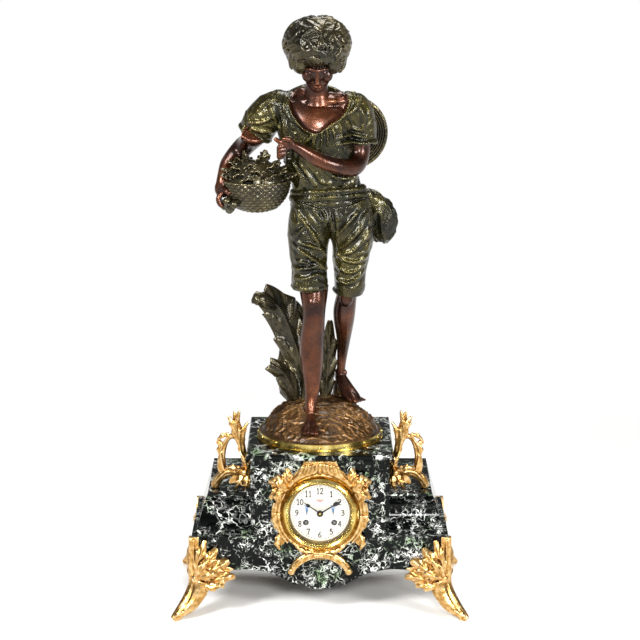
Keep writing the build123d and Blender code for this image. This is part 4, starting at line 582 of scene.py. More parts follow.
# Dial printing: plain numerals drawn as strokes, a dot for each minute, a blue swag on each side
# and a small rose sprig, all fired on the enamel and 0.05 mm proud of it.
strokes = {
    "0": [[(30, 100), (8, 78), (4, 40), (14, 8), (30, 0), (46, 8), (56, 40), (52, 78), (30, 100)]],
    "1": [[(12, 84), (32, 100), (32, 0)], [(18, 0), (46, 0)]],
    "2": [[(6, 76), (16, 97), (42, 98), (55, 78), (44, 48), (5, 2), (58, 2)]],
    "3": [[(6, 88), (26, 100), (50, 88), (49, 66), (26, 54), (54, 42), (54, 15), (28, 0), (4, 12)]],
    "4": [[(42, 0), (42, 100), (3, 30), (60, 30)]],
    "5": [[(52, 98), (14, 98), (9, 58), (34, 64), (56, 46), (52, 14), (26, 0), (4, 10)]],
    "6": [[(50, 96), (24, 82), (6, 42), (12, 8), (32, 0), (53, 12), (54, 38), (34, 54), (10, 42)]],
    "7": [[(5, 84), (8, 98), (56, 98), (24, 0)]],
    "8": [[(30, 54), (9, 70), (12, 92), (30, 100), (48, 92), (51, 70), (30, 54), (6, 32), (10, 8), (30, 0),
           (50, 8), (54, 32), (30, 54)]],
    "9": [[(10, 4), (36, 18), (54, 58), (48, 92), (28, 100), (7, 88), (6, 62), (26, 46), (50, 58)]],
}
dial_face = dial_low[1] * 1000 - 0.05


def draw(shape, line, width):
    """Lays a flat stroke of paint along places (x, z) in mm from the dial's middle."""
    for (x0, z0), (x1, z1) in zip(line, line[1:]):
        along = Vector((x1 - x0, 0, z1 - z0)).normalized() * width
        over = Vector((-along.z, 0, along.x)) / 2
        start = Vector((x0, dial_face, dial_height + z0)) - along * 0.3
        end = Vector((x1, dial_face, dial_height + z1)) + along * 0.3
        shape.faces.new([shape.verts.new(v / 1000)
                         for v in (start + over, start - over, end - over, end + over)])


def print_on_dial(name, shape, thin, full):
    """Fires the painted strokes on the dial, in a colour that is paler where the brush was thin."""
    mesh = bpy.data.meshes.new(name)
    shape.to_mesh(mesh)
    paint = name.split("_")[0] + "_fired_paint"
    mesh.materials.append(vitreous(paint, [(0.35, full), (0.75, thin)], 900.0, 3.0, 0.22))
    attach(in_scene(name, mesh), "clock")


numeral_height, numeral_radius, minute_circle = 8.4, 33.2, 40.3
shape = bmesh.new()
for hour in range(1, 13):
    turn = radians(90 - hour * 30)
    digits = str(hour)
    wide = numeral_height * 0.62
    left = numeral_radius * cos(turn) - wide * len(digits) / 2
    low = numeral_radius * sin(turn) - numeral_height / 2
    for k, digit in enumerate(digits):
        for stroke in strokes[digit]:
            draw(shape, [(left + k * wide + x * 0.009 * numeral_height, low + z * 0.01 * numeral_height)
                         for x, z in stroke], 1.4)
for minute in range(60):
    turn = radians(minute * 6)
    inner = minute_circle - (0.9 if minute % 5 else 1.5)
    draw(shape, [(radius * cos(turn), radius * sin(turn)) for radius in (inner, minute_circle)], 0.7)
print_on_dial("black_numerals", shape, "#24242A", "#050507")
shape = bmesh.new()
for side in (-1, 1):
    for k in range(5):
        draw(shape, [(side * (19 + (k - 2) * 1.3), 12 - abs(k - 2)), (side * (19 + (k - 2) * 0.7), 4),
                     (side * 19, -2 - k % 2 * 2)], 0.8)
    draw(shape, [(side * 16, 12), (side * 19, 9.5), (side * 22.5, 12)], 1.2)
print_on_dial("blue_swags", shape, "#9CC4E8", "#3C7CC0")
shape = bmesh.new()
for k in range(-3, 4):
    draw(shape, [(0, 17), (k * 1.5, 19), (k * 1.9, 21.5 - abs(k) * 0.6)], 0.8)
print_on_dial("rose_sprig", shape, "#E8B090", "#C0603C")


# Milled slip and rivets: small domes set round a circle or an oval by Geometry Nodes, two rows
# on the slip and two on the inner slope of the door. The real milling is finer than 1 mm, and is
# drawn at 2.6 mm so that it shows.
def studs(name, body, centre, radii, count, size, upright):
    """A ring of equal brass studs, upright or lying flat, made once with Geometry Nodes and kept
    as one mesh."""
    tree = bpy.data.node_groups.new(name, "GeometryNodeTree")
    for label, way, kind in (
        ("Geometry", "INPUT", "Geometry"), ("Count", "INPUT", "Int"), ("Stud radius", "INPUT", "Float"),
        ("Metal", "INPUT", "Material"), ("Geometry", "OUTPUT", "Geometry"),
    ):
        tree.interface.new_socket(label, in_out=way, socket_type="NodeSocket" + kind)
    given = add_node(tree, "NodeGroupInput").outputs
    circle = add_node(tree, "GeometryNodeMeshCircle", {"Vertices": given["Count"], "Radius": 1.0})
    oval = add_node(tree, "GeometryNodeTransform", {"Geometry": circle, "Scale": (*radii, 1.0)})
    dome = add_node(tree, "GeometryNodeMeshUVSphere",
                    {"Segments": 10, "Rings": 6, "Radius": given["Stud radius"]})
    placed = add_node(tree, "GeometryNodeInstanceOnPoints", {"Points": oval, "Instance": dome})
    solid = add_node(tree, "GeometryNodeRealizeInstances", {"Geometry": placed})
    dressed = add_node(tree, "GeometryNodeSetMaterial", {"Geometry": solid, "Material": given["Metal"]})
    add_node(tree, "NodeGroupOutput", {"Geometry": dressed})
    carrier = in_scene(name + "_carrier", bpy.data.meshes.new(name + "_carrier"))
    modifier = carrier.modifiers.new("studs", "NODES")
    modifier.node_group = tree
    values = {"Count": count, "Stud radius": size, "Metal": bezel_brass}
    for item in tree.interface.items_tree:
        if item.name in values:
            modifier[item.identifier] = values[item.name]
    made = bpy.data.meshes.new_from_object(carrier.evaluated_get(bpy.context.evaluated_depsgraph_get()))
    bpy.data.objects.remove(carrier)
    made.transform(Matrix.Translation(centre) @ Matrix.Rotation(radians(90 if upright else 0), 4, "X"))
    made.polygons.foreach_set("use_smooth", [True] * len(made.polygons))
    made.name = name
    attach(in_scene(name, made), body)


slip_face, door_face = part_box("sight_ring")[0][1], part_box("bezel_door")[0][1]
for name, body, front, radius, count, size in (
    ("slip_milling_0", "clock", slip_face, 0.0448, 108, 0.00105),
    ("slip_milling_1", "clock", slip_face, 0.0474, 114, 0.00105),
    ("bezel_milling_0", "bezel_door", door_face + 0.0024, 0.0466, 104, 0.00095),
    ("bezel_milling_1", "bezel_door", door_face + 0.0007, 0.0487, 110, 0.00095),
):
    studs(name, body, (0, front, dial_height / 1000), (radius, radius), count, size, upright=True)
ring_low, ring_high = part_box("mound_ring")
rivet_rise, rivet_inset = 0.0075, 0.0023
ring_centre = [(ring_low[i] + ring_high[i]) / 2 for i in (0, 1)] + [ring_low[2] + rivet_rise]
ring_radii = [(ring_high[i] - ring_low[i]) / 2 - rivet_inset for i in (0, 1)]
studs("ring_rivets", "clock", ring_centre, ring_radii, 16, 0.0022, upright=False)

# Movement
# Brass plates, wheels and barrels, steel arbors, and a bell of pale bell metal; the straps and
# the rear ring clamp it in the case, and a spun brass door closes it at the back.
made_of(brass("clock_brass", "#A07A30", "#C8A24C", "#DDC070", 0.28), "front_plate", "back_plate",
        "centre_wheel", "hour_wheel", "minute_wheel", "second_wheel", "third_wheel", "escape_wheel",
        "going_barrel", "strike_barrel", "pendulum_bob", "case_straps", "rear_ring", "rear_door",
        "suspension_block")
made_of(steel("clock_steel", "#6A6A6C", "#96969A"), "going_arbor", "strike_arbor", "anchor", "hammer",
        "pendulum_rod", "regulator_arbor", "bell_stand", "hinge_pins", "strap_screws", "mound_bolt")
made_of(brass("bell_metal", "#8C7A50", "#B5A272", "#CDBF96", 0.22), "bell")


# Figure
# Hollow castings of zinc alloy, soldered together and patinated: reddish brown skin, olive and
# golden green clothes, dark green hair, straw and plants, under a wax that gives sharp lights.
boy_height = 0.619
slab_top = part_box("top_slab")[1][2]


def patina(name, hollow, skin, worn_and_highlight, scale, wax, dents):
    """Bronze patina on a casting: dark in the folds, coloured on the open faces, rubbed bright
    on the edges. The dark of the folds is also painted shade, and the bright of the edges also
    painted highlights. Scale is the size in metres of the clouds of colour, wax the roughness
    and dents the depth in metres of the marks left by the modelling tool."""
    metal, tree, surface, place, bump = cast_finish(
        name, [(0.12, hollow), (0.38, skin[0]), (0.66, skin[1]), (1.0, worn_and_highlight)],
        {"Scale": 1 / scale, "Detail": 6.0, "Roughness": 0.62}, 0.28,
        {"Scale": 700.0, "Detail": 4.0}, (wax, wax + 0.16), 0.18)
    marks = add_node(tree, "ShaderNodeTexNoise",
                     {"Vector": place, "Scale": 110.0, "Detail": 3.0, "Distortion": 1.5})
    dented = add_node(tree, "ShaderNodeBump",
                      {"Height": marks, "Strength": 1.0, "Distance": dents, "Normal": bump})
    feed(tree, surface, {"Normal": dented, "Metallic": 0.75, "Coat Weight": 0.35, "Coat Roughness": 0.18})
    return metal


# Each patina's first colour paints shade into the folds and its last paints highlights on the edges, over the
# patina's own dark hollows and rubbed edges.
skin_patina = patina("skin_patina", "#120603", ("#2E1509", "#5A2F17"), "#9C6440", 0.06, 0.22, 0.0003)
cloth_patina = patina("cloth_patina", "#080804", ("#1E1D0D", "#474019"), "#877B52", 0.06, 0.18, 0.0016)
hair_patina = patina("hair_patina", "#0C0B06", ("#282416", "#494128"), "#8C8060", 0.05, 0.22, 0.0005)
earth_patina = patina("earth_patina", "#1E1206", ("#3C2812", "#684822"), "#B08450", 0.05, 0.28, 0.0020)


def on_boy(x, y, z):
    """A place given as shares of the boy's height, measured from the slab's top."""
    return Vector((x * boy_height, y * boy_height, slab_top + z * boy_height))


def crumple(at, size, seed, stretch=(1, 1, 1)):
    """Sharp-backed wrinkles that wander over a surface: 1 on a ridge, 0 between."""
    # Without a seed, the noise vectors would start from the clock and differ from run to run.
    noise.seed_set(seed)
    twist, sharpness = 0.9, 3.2
    values = np.empty(len(at))
    shift = Vector((seed * 3.7, seed * 1.3, seed * 2.1))
    for i, (x, y, z) in enumerate(at / size * np.array(stretch)):
        spot = Vector((x, y, z)) + shift
        values[i] = noise.noise(spot + twist * noise.noise_vector(spot * 0.7))
    return np.clip(1.0 - np.abs(values) * sharpness, 0.0, 1.0) ** 1.5


def fold_lines(at, facing, lines, front=True):
    """Folds drawn on the front or the back: each is a half width and a height in mm and a row of
    places (x, z) in mm. A fold has a sharp back and a hollow along each side."""
    hollow_depth, hollow_away = 0.45, 2.0
    side = np.clip((-facing[:, 1] if front else facing[:, 1]) * 2.0 + 0.25, 0.0, 1.0)
    lift = np.zeros(len(at))
    flat = at[:, (0, 2)]
    for width, rise, line in lines:
        line = np.array(line) / 1000
        steps = np.linspace(0, len(line) - 1, 8 * (len(line) - 1) + 1)
        path = np.stack([np.interp(steps, np.arange(len(line)), line[:, k]) for k in (0, 1)], axis=1)
        for _ in range(4):
            path[1:-1] = 0.5 * path[1:-1] + 0.25 * (path[:-2] + path[2:])
        low, high = path.min(axis=0) - 0.02, path.max(axis=0) + 0.02
        near = np.where(((flat > low) & (flat < high)).all(axis=1))[0]
        away = flat[near][:, None] - path
        gap = np.hypot(away[..., 0], away[..., 1])
        nearest = gap.argmin(axis=1)
        gap = gap.min(axis=1) * 1000 / width
        taper = np.sin(np.pi * np.clip((nearest + 1) / (len(path) + 1), 0.08, 0.92)) ** 0.6
        shape = np.exp(-gap ** 2 * 1.2) - hollow_depth * np.exp(-(gap - hollow_away) ** 2 * 1.1)
        lift[near] += shape * taper * rise / 1000
    return lift * side


# Mound and its ring
# The rough ground that the boy treads, chased like trodden grass and gilt-brown, inside a ring
# of polished brass that is pinned to it with small round-headed rivets.
mound = sculpt("mound_casting", copy_of("mound"), voxel=0.0013, smoothing=3)
at, facing = points_of(mound)
top = np.clip((at[:, 2] - slab_top - 0.012) / 0.006, 0.0, 1.0) * np.clip(facing[:, 2] * 3, 0.0, 1.0)
lift = (crumple(at, 0.020, seed=3, stretch=(0.7, 1.8, 1.4)) * 0.0022
        + crumple(at, 0.009, seed=5, stretch=(0.6, 1.6, 1.3)) * 0.0008
        + crumple(at, 0.050, seed=8) * 0.003 - 0.0022)
push_out(mound, lift * top)
dress(mound, "mound", earth_patina)

# Legs
# Bare from the knee: the right one straight and forward, the left one behind with its heel
# raised on a root. Knee, shin, calf, ankle and toes are modelled.
def add_muscles(shape, balls):
    """Adds balls whose places and radii are shares of the boy's height."""
    for place, radii in balls:
        add_ball(shape, on_boy(*place), [r * boy_height for r in radii])


def add_toe(shape, k, root, joint, tip, girth, taper):
    """Adds the toe number k from the big toe, whose joint has this girth on the big toe and is
    thinner by the taper on each next one."""
    radii = (0.0058 - 0.0006 * k, girth - taper * k, 0.005 - 0.0007 * k)
    add_tube(shape, [on_boy(*place) for place in (root, joint, tip)], [r * boy_height for r in radii])


shape = copy_of("right_leg")
add_muscles(shape, (
    ((-0.016, -0.046, 0.333), (0.016, 0.012, 0.020)), ((-0.022, -0.004, 0.235), (0.022, 0.018, 0.045)),
    ((-0.034, -0.036, 0.072), (0.006, 0.007, 0.007)), ((-0.008, -0.038, 0.074), (0.006, 0.007, 0.007)),
    ((-0.021, -0.020, 0.062), (0.013, 0.014, 0.014))))
for k, tip in enumerate((-0.128, -0.124, -0.119, -0.113, -0.106)):
    add_toe(shape, k, (-0.008 - k * 0.0075, -0.092, 0.050 - k * 0.0012),
            (-0.009 - k * 0.0085, tip + 0.010, 0.046), (-0.009 - k * 0.0088, tip, 0.040), 0.0062, 0.0008)
dress(sculpt("right_leg_casting", shape, voxel=0.001, smoothing=4), "right_leg", skin_patina)

shape = copy_of("left_leg")
add_muscles(shape, (
    ((0.062, -0.010, 0.340), (0.016, 0.012, 0.020)), ((0.058, 0.058, 0.262), (0.019, 0.018, 0.040)),
    ((0.042, 0.072, 0.140), (0.006, 0.007, 0.007)), ((0.060, 0.068, 0.138), (0.006, 0.007, 0.007)),
    ((0.046, 0.082, 0.126), (0.012, 0.012, 0.012))))
for k in range(5):
    turn = k * 0.0072
    add_toe(shape, k, (0.074 + turn * 0.6, 0.022 + turn * 0.6, 0.098 - turn * 0.4),
            (0.082 + turn * 0.8, 0.006 + turn * 0.8, 0.090 - turn * 0.3),
            (0.086 + turn * 0.8, -0.003 + turn * 0.9, 0.083), 0.0060, 0.0007)
dress(sculpt("left_leg_casting", shape, voxel=0.001, smoothing=4), "left_leg", skin_patina)

# Shorts
# Wide knee-length shorts of thin cloth under a knotted sash, their folds drawn from the hips to
# the fork and bunched above each hem.
shape = copy_of("shorts")
for (x, y, z), radius in (((-0.024, -0.019, 0.372), 0.0405), ((0.068, 0.015, 0.356), 0.0345)):
    hem = [on_boy(x + radius * cos(k * pi / 8), y + radius * sin(k * pi / 8), z - 0.0003 * sin(k * pi / 8))
           for k in range(17)]
    add_tube(shape, hem, [0.0042 * boy_height] * 17)
for rise, thick in ((0.596, 0.0075), (0.582, 0.0095), (0.567, 0.0070)):
    ring = [on_boy(0.020 + 0.0815 * cos(k * pi / 12), 0.047 * sin(k * pi / 12) - 0.001,
                   rise + 0.006 * cos(k * pi / 12 + 0.6)) for k in range(25)]
    add_tube(shape, ring, [thick * boy_height * (1 + 0.25 * sin(k * 1.7)) for k in range(25)])
shorts = sculpt("shorts_casting", shape, voxel=0.0011, smoothing=3)
at, facing = points_of(shorts)
lift = fold_lines(at, facing, [
    (3, 3.2, [(-30.1, 582.9), (-11.9, 560.7), (6.3, 527.3)]),
    (2.6, 2.6, [(-19.1, 603.1), (-6.5, 586.6), (2.6, 575.5)]),
    (2.8, 3.2, [(-32, 544.1), (-13.8, 540.4), (-1, 534.8), (8.1, 523.6)]),
    (3, 3.6, [(-36, 538.6), (-19.3, 527.3), (-6.5, 518), (6.3, 506.8), (17.3, 497.5)]),
    (3, 3, [(-37.6, 505), (-23, 506.8), (-6.5, 510.6), (6.3, 503.1)]),
    (2.6, 2.8, [(-36.1, 491.9), (-19.3, 491.9), (-4.7, 499.4), (8.3, 491.9)]),
    (2.4, 2.2, [(-39.3, 549.6), (-30.1, 560.7), (-19.2, 568.1)]),
    (2.4, 2.4, [(-34, 517), (-18, 514), (-8, 521)]),
    (3.2, 3.2, [(57, 603.1), (51.7, 584.7), (35.4, 566.3), (24.5, 553.3)]),
    (3.2, 3.6, [(68, 586.6), (59, 564.4), (46.3, 549.6), (30, 534.8)]),
    (2.8, 3.2, [(73.6, 560.7), (61, 544.1), (46.4, 529.2), (26.4, 523.6)]),
    (3, 3.2, [(24.6, 521.8), (39.2, 514.3), (53.8, 512.4), (68.4, 519.9)]),
    (3, 3, [(24.6, 486.3), (37.5, 480.6), (50.3, 484.4), (63.2, 497.6)]),
    (2.6, 2.4, [(26, 503), (38, 497), (52, 498), (64, 508)]),
    (2.2, -3.6, [(17.1, 593.9), (19.9, 571.8), (19.9, 544.1), (20.9, 520.6)]),
    (2.4, 2.2, [(26.2, 612.3), (35.3, 593.9), (37.1, 579.2)]),
    (2.4, 2.2, [(0.8, 601.3), (6.3, 586.6), (9.9, 568.1)]),
    (2.4, 2, [(-34, 600), (-30, 585), (-31, 566)]), (2.4, 2.2, [(70, 540), (66, 528), (56, 524)]),
])
lift += fold_lines(at, facing, [
    (3.4, 3.4, [(-40, 590), (-22, 560), (4, 535)]), (3.4, 3.2, [(70, 590), (52, 560), (30, 540)]),
    (3.2, 3, [(-42, 530), (-20, 520), (4, 505)]), (3.2, 3, [(66, 520), (48, 512), (26, 500)]),
    (2.6, -3.4, [(20, 590), (20, 560), (20, 520)]), (3, 2.6, [(-38, 500), (-20, 494), (0, 498)]),
], front=False)
below_sash = np.clip((slab_top + 0.560 * boy_height - at[:, 2]) / 0.006, 0, 1)
push_out(shorts, (lift + (crumple(at, 0.030, seed=11, stretch=(1, 1, 0.7)) - 0.35) * 0.0012) * below_sash)
dress(shorts, "shorts", cloth_patina, reach=0.0044, rounds=30)

# Shirt
# A loose open-necked blouse: turned collar, gathered ruffle at its point, and short puffed
# sleeves rolled above the elbow. The bare chest is cast with it and patinated as skin.
shape = copy_of("shirt")
over = shape.copy()
over.normal_update()
cloth = BVHTree.FromBMesh(over)
over.free()


def on_front(x, z, proud):
    """The place on the front of the shirt at x and z in mm, so many mm proud of it."""
    hit = cloth.ray_cast(Vector((x / 1000, -1, z / 1000)), Vector((0, 1, 0)))[0]
    return hit - Vector((0, proud / 1000, 0)) if hit else None


for line, radii in (
    ([(-26, 776), (-38, 762), (-44, 746), (-39, 728), (-23, 709), (-8, 702)], (2.2, 4.2, 4.6, 4, 3.4, 2.4)),
    ([(-30, 772), (-42, 757), (-50, 742), (-46, 727), (-34, 716)], (1.6, 3.2, 4, 3.4, 1.6)),
    ([(20, 779), (33, 766), (42, 749), (38, 734), (28, 722), (14, 714), (-1, 703)],
     (2, 3.8, 4.8, 4.6, 4, 3.4, 2.4)),
    ([(28, 779), (45, 765), (54, 749), (49, 734), (36, 725)], (1.8, 4, 4.8, 4.2, 2)),
    ([(-5, 704), (-9, 690), (-12, 674)], (3.4, 3, 1.4)), ([(2, 706), (3, 693), (0, 678)], (3, 2.6, 1.2)),
    ([(9, 710), (11, 697), (10, 684)], (3, 2.6, 1.2)), ([(17, 713), (20, 701), (20, 688)], (2.8, 2.4, 1.2)),
    ([(26, 717), (30, 706), (31, 694)], (2.8, 2.2, 1.2)),
    ([(-10, 700), (-18, 692), (-24, 684)], (2.8, 2.4, 1.2)),
):
    spots = [on_front(x, z, 0.8) for x, z in line]
    kept = [(spot, radius / 1000) for spot, radius in zip(spots, radii) if spot]
    add_tube(shape, [spot for spot, radius in kept], [radius for spot, radius in kept])
ends = [on_front(x, 744, -13) for x in (6, 50)]
add_tube(shape, [ends[0], (ends[0] + ends[1]) / 2, ends[1]], [0.0135, 0.0138, 0.0135])
add_tube(shape, mirrored([(-40, -24, 748), (-34, -6, 756), (-18, 6, 760), (-2, 9, 761), (14, 5, 759),
                          (28, -6, 754), (40, -22, 750)]), metres((4, 5, 5.5, 5.5, 5.5, 5, 4)))
add_ball(shape, in_mm(-3, -10, 744), (0.036, 0.020, 0.013))
for centre, axis, radius, thick in (
    ((-0.150, 0.016, 0.727), (-0.45, 0.2, -0.86), (0.037, 0.034), 0.0060),
    ((0.092, 0.008, 0.708), (0, -0.05, -1), (0.0365, 0.0355), 0.0055),
):
    along = Vector(axis).normalized()
    side = along.cross(Vector((0, 1, 0))).normalized()
    deep = along.cross(side)
    ring = [on_boy(*centre) + (side * radius[0] * cos(k * pi / 8)
                               + deep * radius[1] * sin(k * pi / 8)) * boy_height for k in range(17)]
    add_tube(shape, ring, [thick * boy_height * (1 + 0.2 * sin(k * 2.3)) for k in range(17)])
shirt = sculpt("shirt_casting", shape, voxel=0.0011, smoothing=3)
at, facing = points_of(shirt)
neckline = np.array([(-24, 790), (-38, 762), (-43.5, 746), (-38.6, 728.2), (-22.5, 708.4), (-8.2, 702.5),
                     (-1, 704.3), (15.1, 714.6), (28, 721.8), (37, 733), (41, 748), (32, 765),
                     (18, 790)]) / 1000
inside = np.zeros(len(at), dtype=bool)
for (x0, z0), (x1, z1) in zip(neckline, np.roll(neckline, -1, axis=0)):
    crosses = (z0 > at[:, 2]) != (z1 > at[:, 2])
    inside ^= crosses & (at[:, 0] < (x1 - x0) * (at[:, 2] - z0) / (z1 - z0 + 1e-12) + x0)
inside &= (facing[:, 1] < 0.15) & (at[:, 1] < -0.006)
bare = neighbour_mean(shirt.data, inside.astype(float), 4)
lift = fold_lines(at, facing, [
    (2.6, 2.6, [(24.1, 694), (42.1, 697.6), (63.6, 692.2)]),
    (2.6, 2.6, [(25.9, 685), (43.9, 686.8), (65.5, 683.2)]),
    (2.6, 2.4, [(-100.3, 713.6), (-79.8, 715.6), (-67, 722)]),
    (2.6, 2.4, [(-98, 705.6), (-83.5, 701.2), (-65.6, 699.4)]),
    (2.8, 2.4, [(-74.2, 745.5), (-65.4, 724.6), (-58.4, 703)]),
    (2.8, 2.6, [(-56.6, 742.9), (-51.2, 712), (-49.5, 692.2)]),
    (2.6, 2.8, [(-40.8, 662), (-29.8, 641.5), (-22.7, 624.9)]),
    (2.6, 2.8, [(-29.8, 657.8), (-17.2, 641.5), (-6.4, 626.9)]),
    (2.8, 2.8, [(-44.1, 695), (-46, 657.8), (-42.5, 630.5)]),
    (2.6, 2.4, [(-4.6, 643.3), (2.6, 630.5), (15.2, 628.5)]),
    (2.4, 2.2, [(-36, 700), (-34, 680), (-38, 664)]), (2.6, 2.4, [(58, 735), (64, 718), (60, 704)]),
    (2.4, 2.2, [(40, 715), (46, 706), (58, 702)]), (2.6, 2.4, [(20, 640), (34, 634), (48, 638)]),
    (2.4, 2.2, [(50, 660), (54, 645), (48, 628)]), (2.6, 2.4, [(-88, 732), (-80, 742), (-66, 748)]),
    (2.6, 2.2, [(10, 652), (18, 640), (30, 628)]),
])
lift += fold_lines(at, facing, [
    (3.2, 3, [(-50, 740), (-30, 700), (-10, 650)]), (3.2, 3, [(50, 740), (36, 700), (20, 650)]),
    (3, 2.8, [(-40, 690), (-30, 660), (-26, 630)]), (3, 2.8, [(52, 690), (44, 660), (42, 630)]),
    (3, 2.6, [(0, 760), (4, 710), (6, 650)]),
], front=False)
lift += (crumple(at, 0.026, seed=21, stretch=(1.2, 1.2, 0.8)) - 0.35) * 0.0012
collar_bones = 0.00128 * np.exp(-((at[:, 2] - 0.757 - 0.18 * np.abs(at[:, 0] + 0.004)) / 0.0035) ** 2)
push_out(shirt, lift * (1 - bare) + (collar_bones - 0.0022) * bare)
dress(shirt, "shirt", cloth_patina, reach=0.0044, rounds=30)
shirt.data.materials.append(skin_patina)
corners = np.empty(len(shirt.data.loops), dtype=np.int64)
shirt.data.loops.foreach_get("vertex_index", corners)
starts = np.empty(len(shirt.data.polygons), dtype=np.int64)
shirt.data.polygons.foreach_get("loop_start", starts)
shirt.data.polygons.foreach_set("material_index", (bare[corners[starts]] > 0.5).astype(np.int32))

# Arms and hands
# The right arm reaches down to the basket's rim, the left one is bent across the chest with its
# hand half closed. Each was cast whole and pushed up into its sleeve.
def add_finger(shape, places, radii):
    """Adds a finger along shares of the boy's height, with its radii in mm."""
    add_tube(shape, [on_boy(*place) for place in places], metres(radii))


shape = copy_of("right_arm")
add_ball(shape, on_boy(-0.2255, -0.046, 0.607), [0.0105, 0.0075, 0.0135])
for k in range(4):
    slide = (k - 1.5) * 0.0112
    add_finger(shape, ((-0.2265 + abs(slide) * 0.1, -0.047 + slide * 0.9, 0.600),
                       (-0.2325, -0.048 + slide * 1.15, 0.586), (-0.2290, -0.049 + slide * 1.2, 0.574),
                       (-0.2215, -0.050 + slide * 1.2, 0.568)), (4.2, 4.0, 3.6, 3.0))
add_finger(shape, ((-0.222, -0.060, 0.612), (-0.213, -0.071, 0.604), (-0.205, -0.074, 0.598)),
           (4.8, 4.2, 3.2))
dress(sculpt("right_arm_casting", shape, voxel=0.0009, smoothing=4), "right_arm", skin_patina)

shape = copy_of("left_arm")
add_ball(shape, on_boy(-0.073, -0.091, 0.715), [0.0105, 0.0080, 0.0095])
add_finger(shape, ((-0.076, -0.098, 0.718), (-0.090, -0.101, 0.722), (-0.103, -0.099, 0.730)),
           (4.4, 3.8, 2.8))
for k in range(3):
    drop = k * 0.0085
    add_finger(shape, ((-0.078, -0.096, 0.713 - drop), (-0.091, -0.103, 0.711 - drop),
                       (-0.092, -0.098, 0.703 - drop), (-0.083, -0.094, 0.704 - drop)), (4.0, 3.8, 3.4, 2.6))
add_finger(shape, ((-0.064, -0.098, 0.722), (-0.072, -0.106, 0.729), (-0.084, -0.106, 0.729)),
           (4.6, 4.2, 3.2))
dress(sculpt("left_arm_casting", shape, voxel=0.0009, smoothing=4), "left_arm", skin_patina)

# Head
# Neck and a calm, bowed face on plain proportions: eyes half way up, lids lowered, nose and
# mouth in thirds below the brow. Cast with the neck, which drops into the collar.
bow = radians(30)
head_centre = on_boy(-0.006, -0.058, 0.893)


def on_face(right, up, out):
    """A place on the head in mm: to its side, up its own axis and out from its middle."""
    return head_centre + in_mm(right, -out * cos(bow) - up * sin(bow), up * cos(bow) - out * sin(bow))


shape = bmesh.new()
for place, radii in (
    ((0, 12, -8), (26, 28, 30)), ((0, -5, -1), (25.5, 22, 25)), ((0, -20, 6), (18, 13, 17)),
    ((0, -29, 13), (10.5, 8.5, 9)), ((13, -11, 11), (9, 10, 10)), ((-13, -11, 11), (9, 10, 10)),
    ((9.2, -3.0, 18.2), (4.4, 2.2, 3.0)), ((-9.2, -3.0, 18.2), (4.4, 2.2, 3.0)),
    ((3.4, -14.5, 28), (2.6, 2.6, 2.4)), ((-3.4, -14.5, 28), (2.6, 2.6, 2.4)),
):
    add_ball(shape, on_face(*place), metres(radii), bow)
for line, radii in (
    ([(-17, 3, 16), (-10, 6, 21.5), (0, 5, 24), (10, 6, 21.5), (17, 3, 16)], (1.4, 2.4, 2.8, 2.4, 1.4)),
    ([(0, 5, 23.5), (0, -4, 27), (0, -13, 31.5)], (3.0, 3.0, 3.4)),
    ([(-7.5, -21.4, 22), (-3, -20.6, 25.6), (0, -21.2, 25.8), (3, -20.6, 25.6), (7.5, -21.4, 22)],
     (0.9, 1.7, 1.6, 1.7, 0.9)),
    ([(-6, -23.2, 22), (0, -24.4, 25), (6, -23.2, 22)], (1.0, 2.1, 1.0)),
):
    add_tube(shape, [on_face(*place) for place in line], metres(radii), sides=14)
neck = ((-0.007, -0.030, 0.880), (-0.008, -0.025, 0.848), (-0.008, -0.020, 0.826), (-0.008, -0.014, 0.805))
add_tube(shape, [on_boy(*place) for place in neck], [0.0140, 0.0146, 0.0175, 0.0240], sides=56)
dress(sculpt("face_casting", shape, voxel=0.0009, smoothing=3), "head", skin_patina)

# Hair
# A thick mop of curls brushed forward over the brow. Each lock is three wavy strands side by
# side that were modelled in wax and cast with the head.
hair_centre = Vector((-0.0042, -0.0290, 0.8260))
hair_radii = Vector((0.0445, 0.0430, 0.0372))
shape = bmesh.new()
add_ball(shape, hair_centre, hair_radii * 0.99)
add_ball(shape, hair_centre + Vector((0, -0.0180, -0.0060)), (0.0350, 0.0290, 0.0265))
for side in (-1, 1):
    add_ball(shape, hair_centre + Vector((side * 0.0225, -0.0060, -0.0220)), (0.0150, 0.0250, 0.0200))
scalp = BVHTree.FromBMesh(shape)
rng = np.random.default_rng(7)
crown = Vector((0.05, 0.55, 0.83))
locks, golden_angle = 120, 2.39996
for k in range(locks):
    rise = 1 - 2 * (k + 0.5) / locks
    level = (1 - rise * rise) ** 0.5
    root = Vector((level * cos(k * golden_angle), level * sin(k * golden_angle), rise))
    flow = (root - crown * root.dot(crown)).normalized()
    lean = rng.uniform(-0.9, 0.9)
    heading = flow * cos(lean) + root.cross(flow) * sin(lean)
    curl = rng.choice((-1, 1)) * rng.uniform(0.2, 0.6)
    lift = rng.uniform(0.0012, 0.0034)
    for strand in (-1, 0, 1):
        spot = (root + root.cross(heading).normalized() * strand * 0.10).normalized()
        aim, stride = heading.copy(), 0.23
        path, radii = [], []
        for step in range(6):
            if spot.z < (-0.6 if abs(spot.x) < 0.5 else -0.86) and spot.y < 0.3:
                break
            out = Vector([a * b for a, b in zip(spot, hair_radii)]).normalized()
            path.append(scalp.ray_cast(hair_centre + out * 0.2, -out)[0]
                        + out * (lift * sin(pi * (step + 1) / 7) + 0.0008 * (strand == 0)))
            radii.append(0.0027 * (1 - 0.10 * step))
            aim = (aim - spot * aim.dot(spot)).normalized()
            aim = aim * cos(curl) + spot.cross(aim) * sin(curl)
            spot = (spot + aim * stride).normalized()
            stride = stride * 0.94
        if len(path) > 2:
            add_tube(shape, path, radii, sides=8)
dress(sculpt("hair_casting", shape, voxel=0.00085, smoothing=1), None, hair_patina, reach=0.0018)

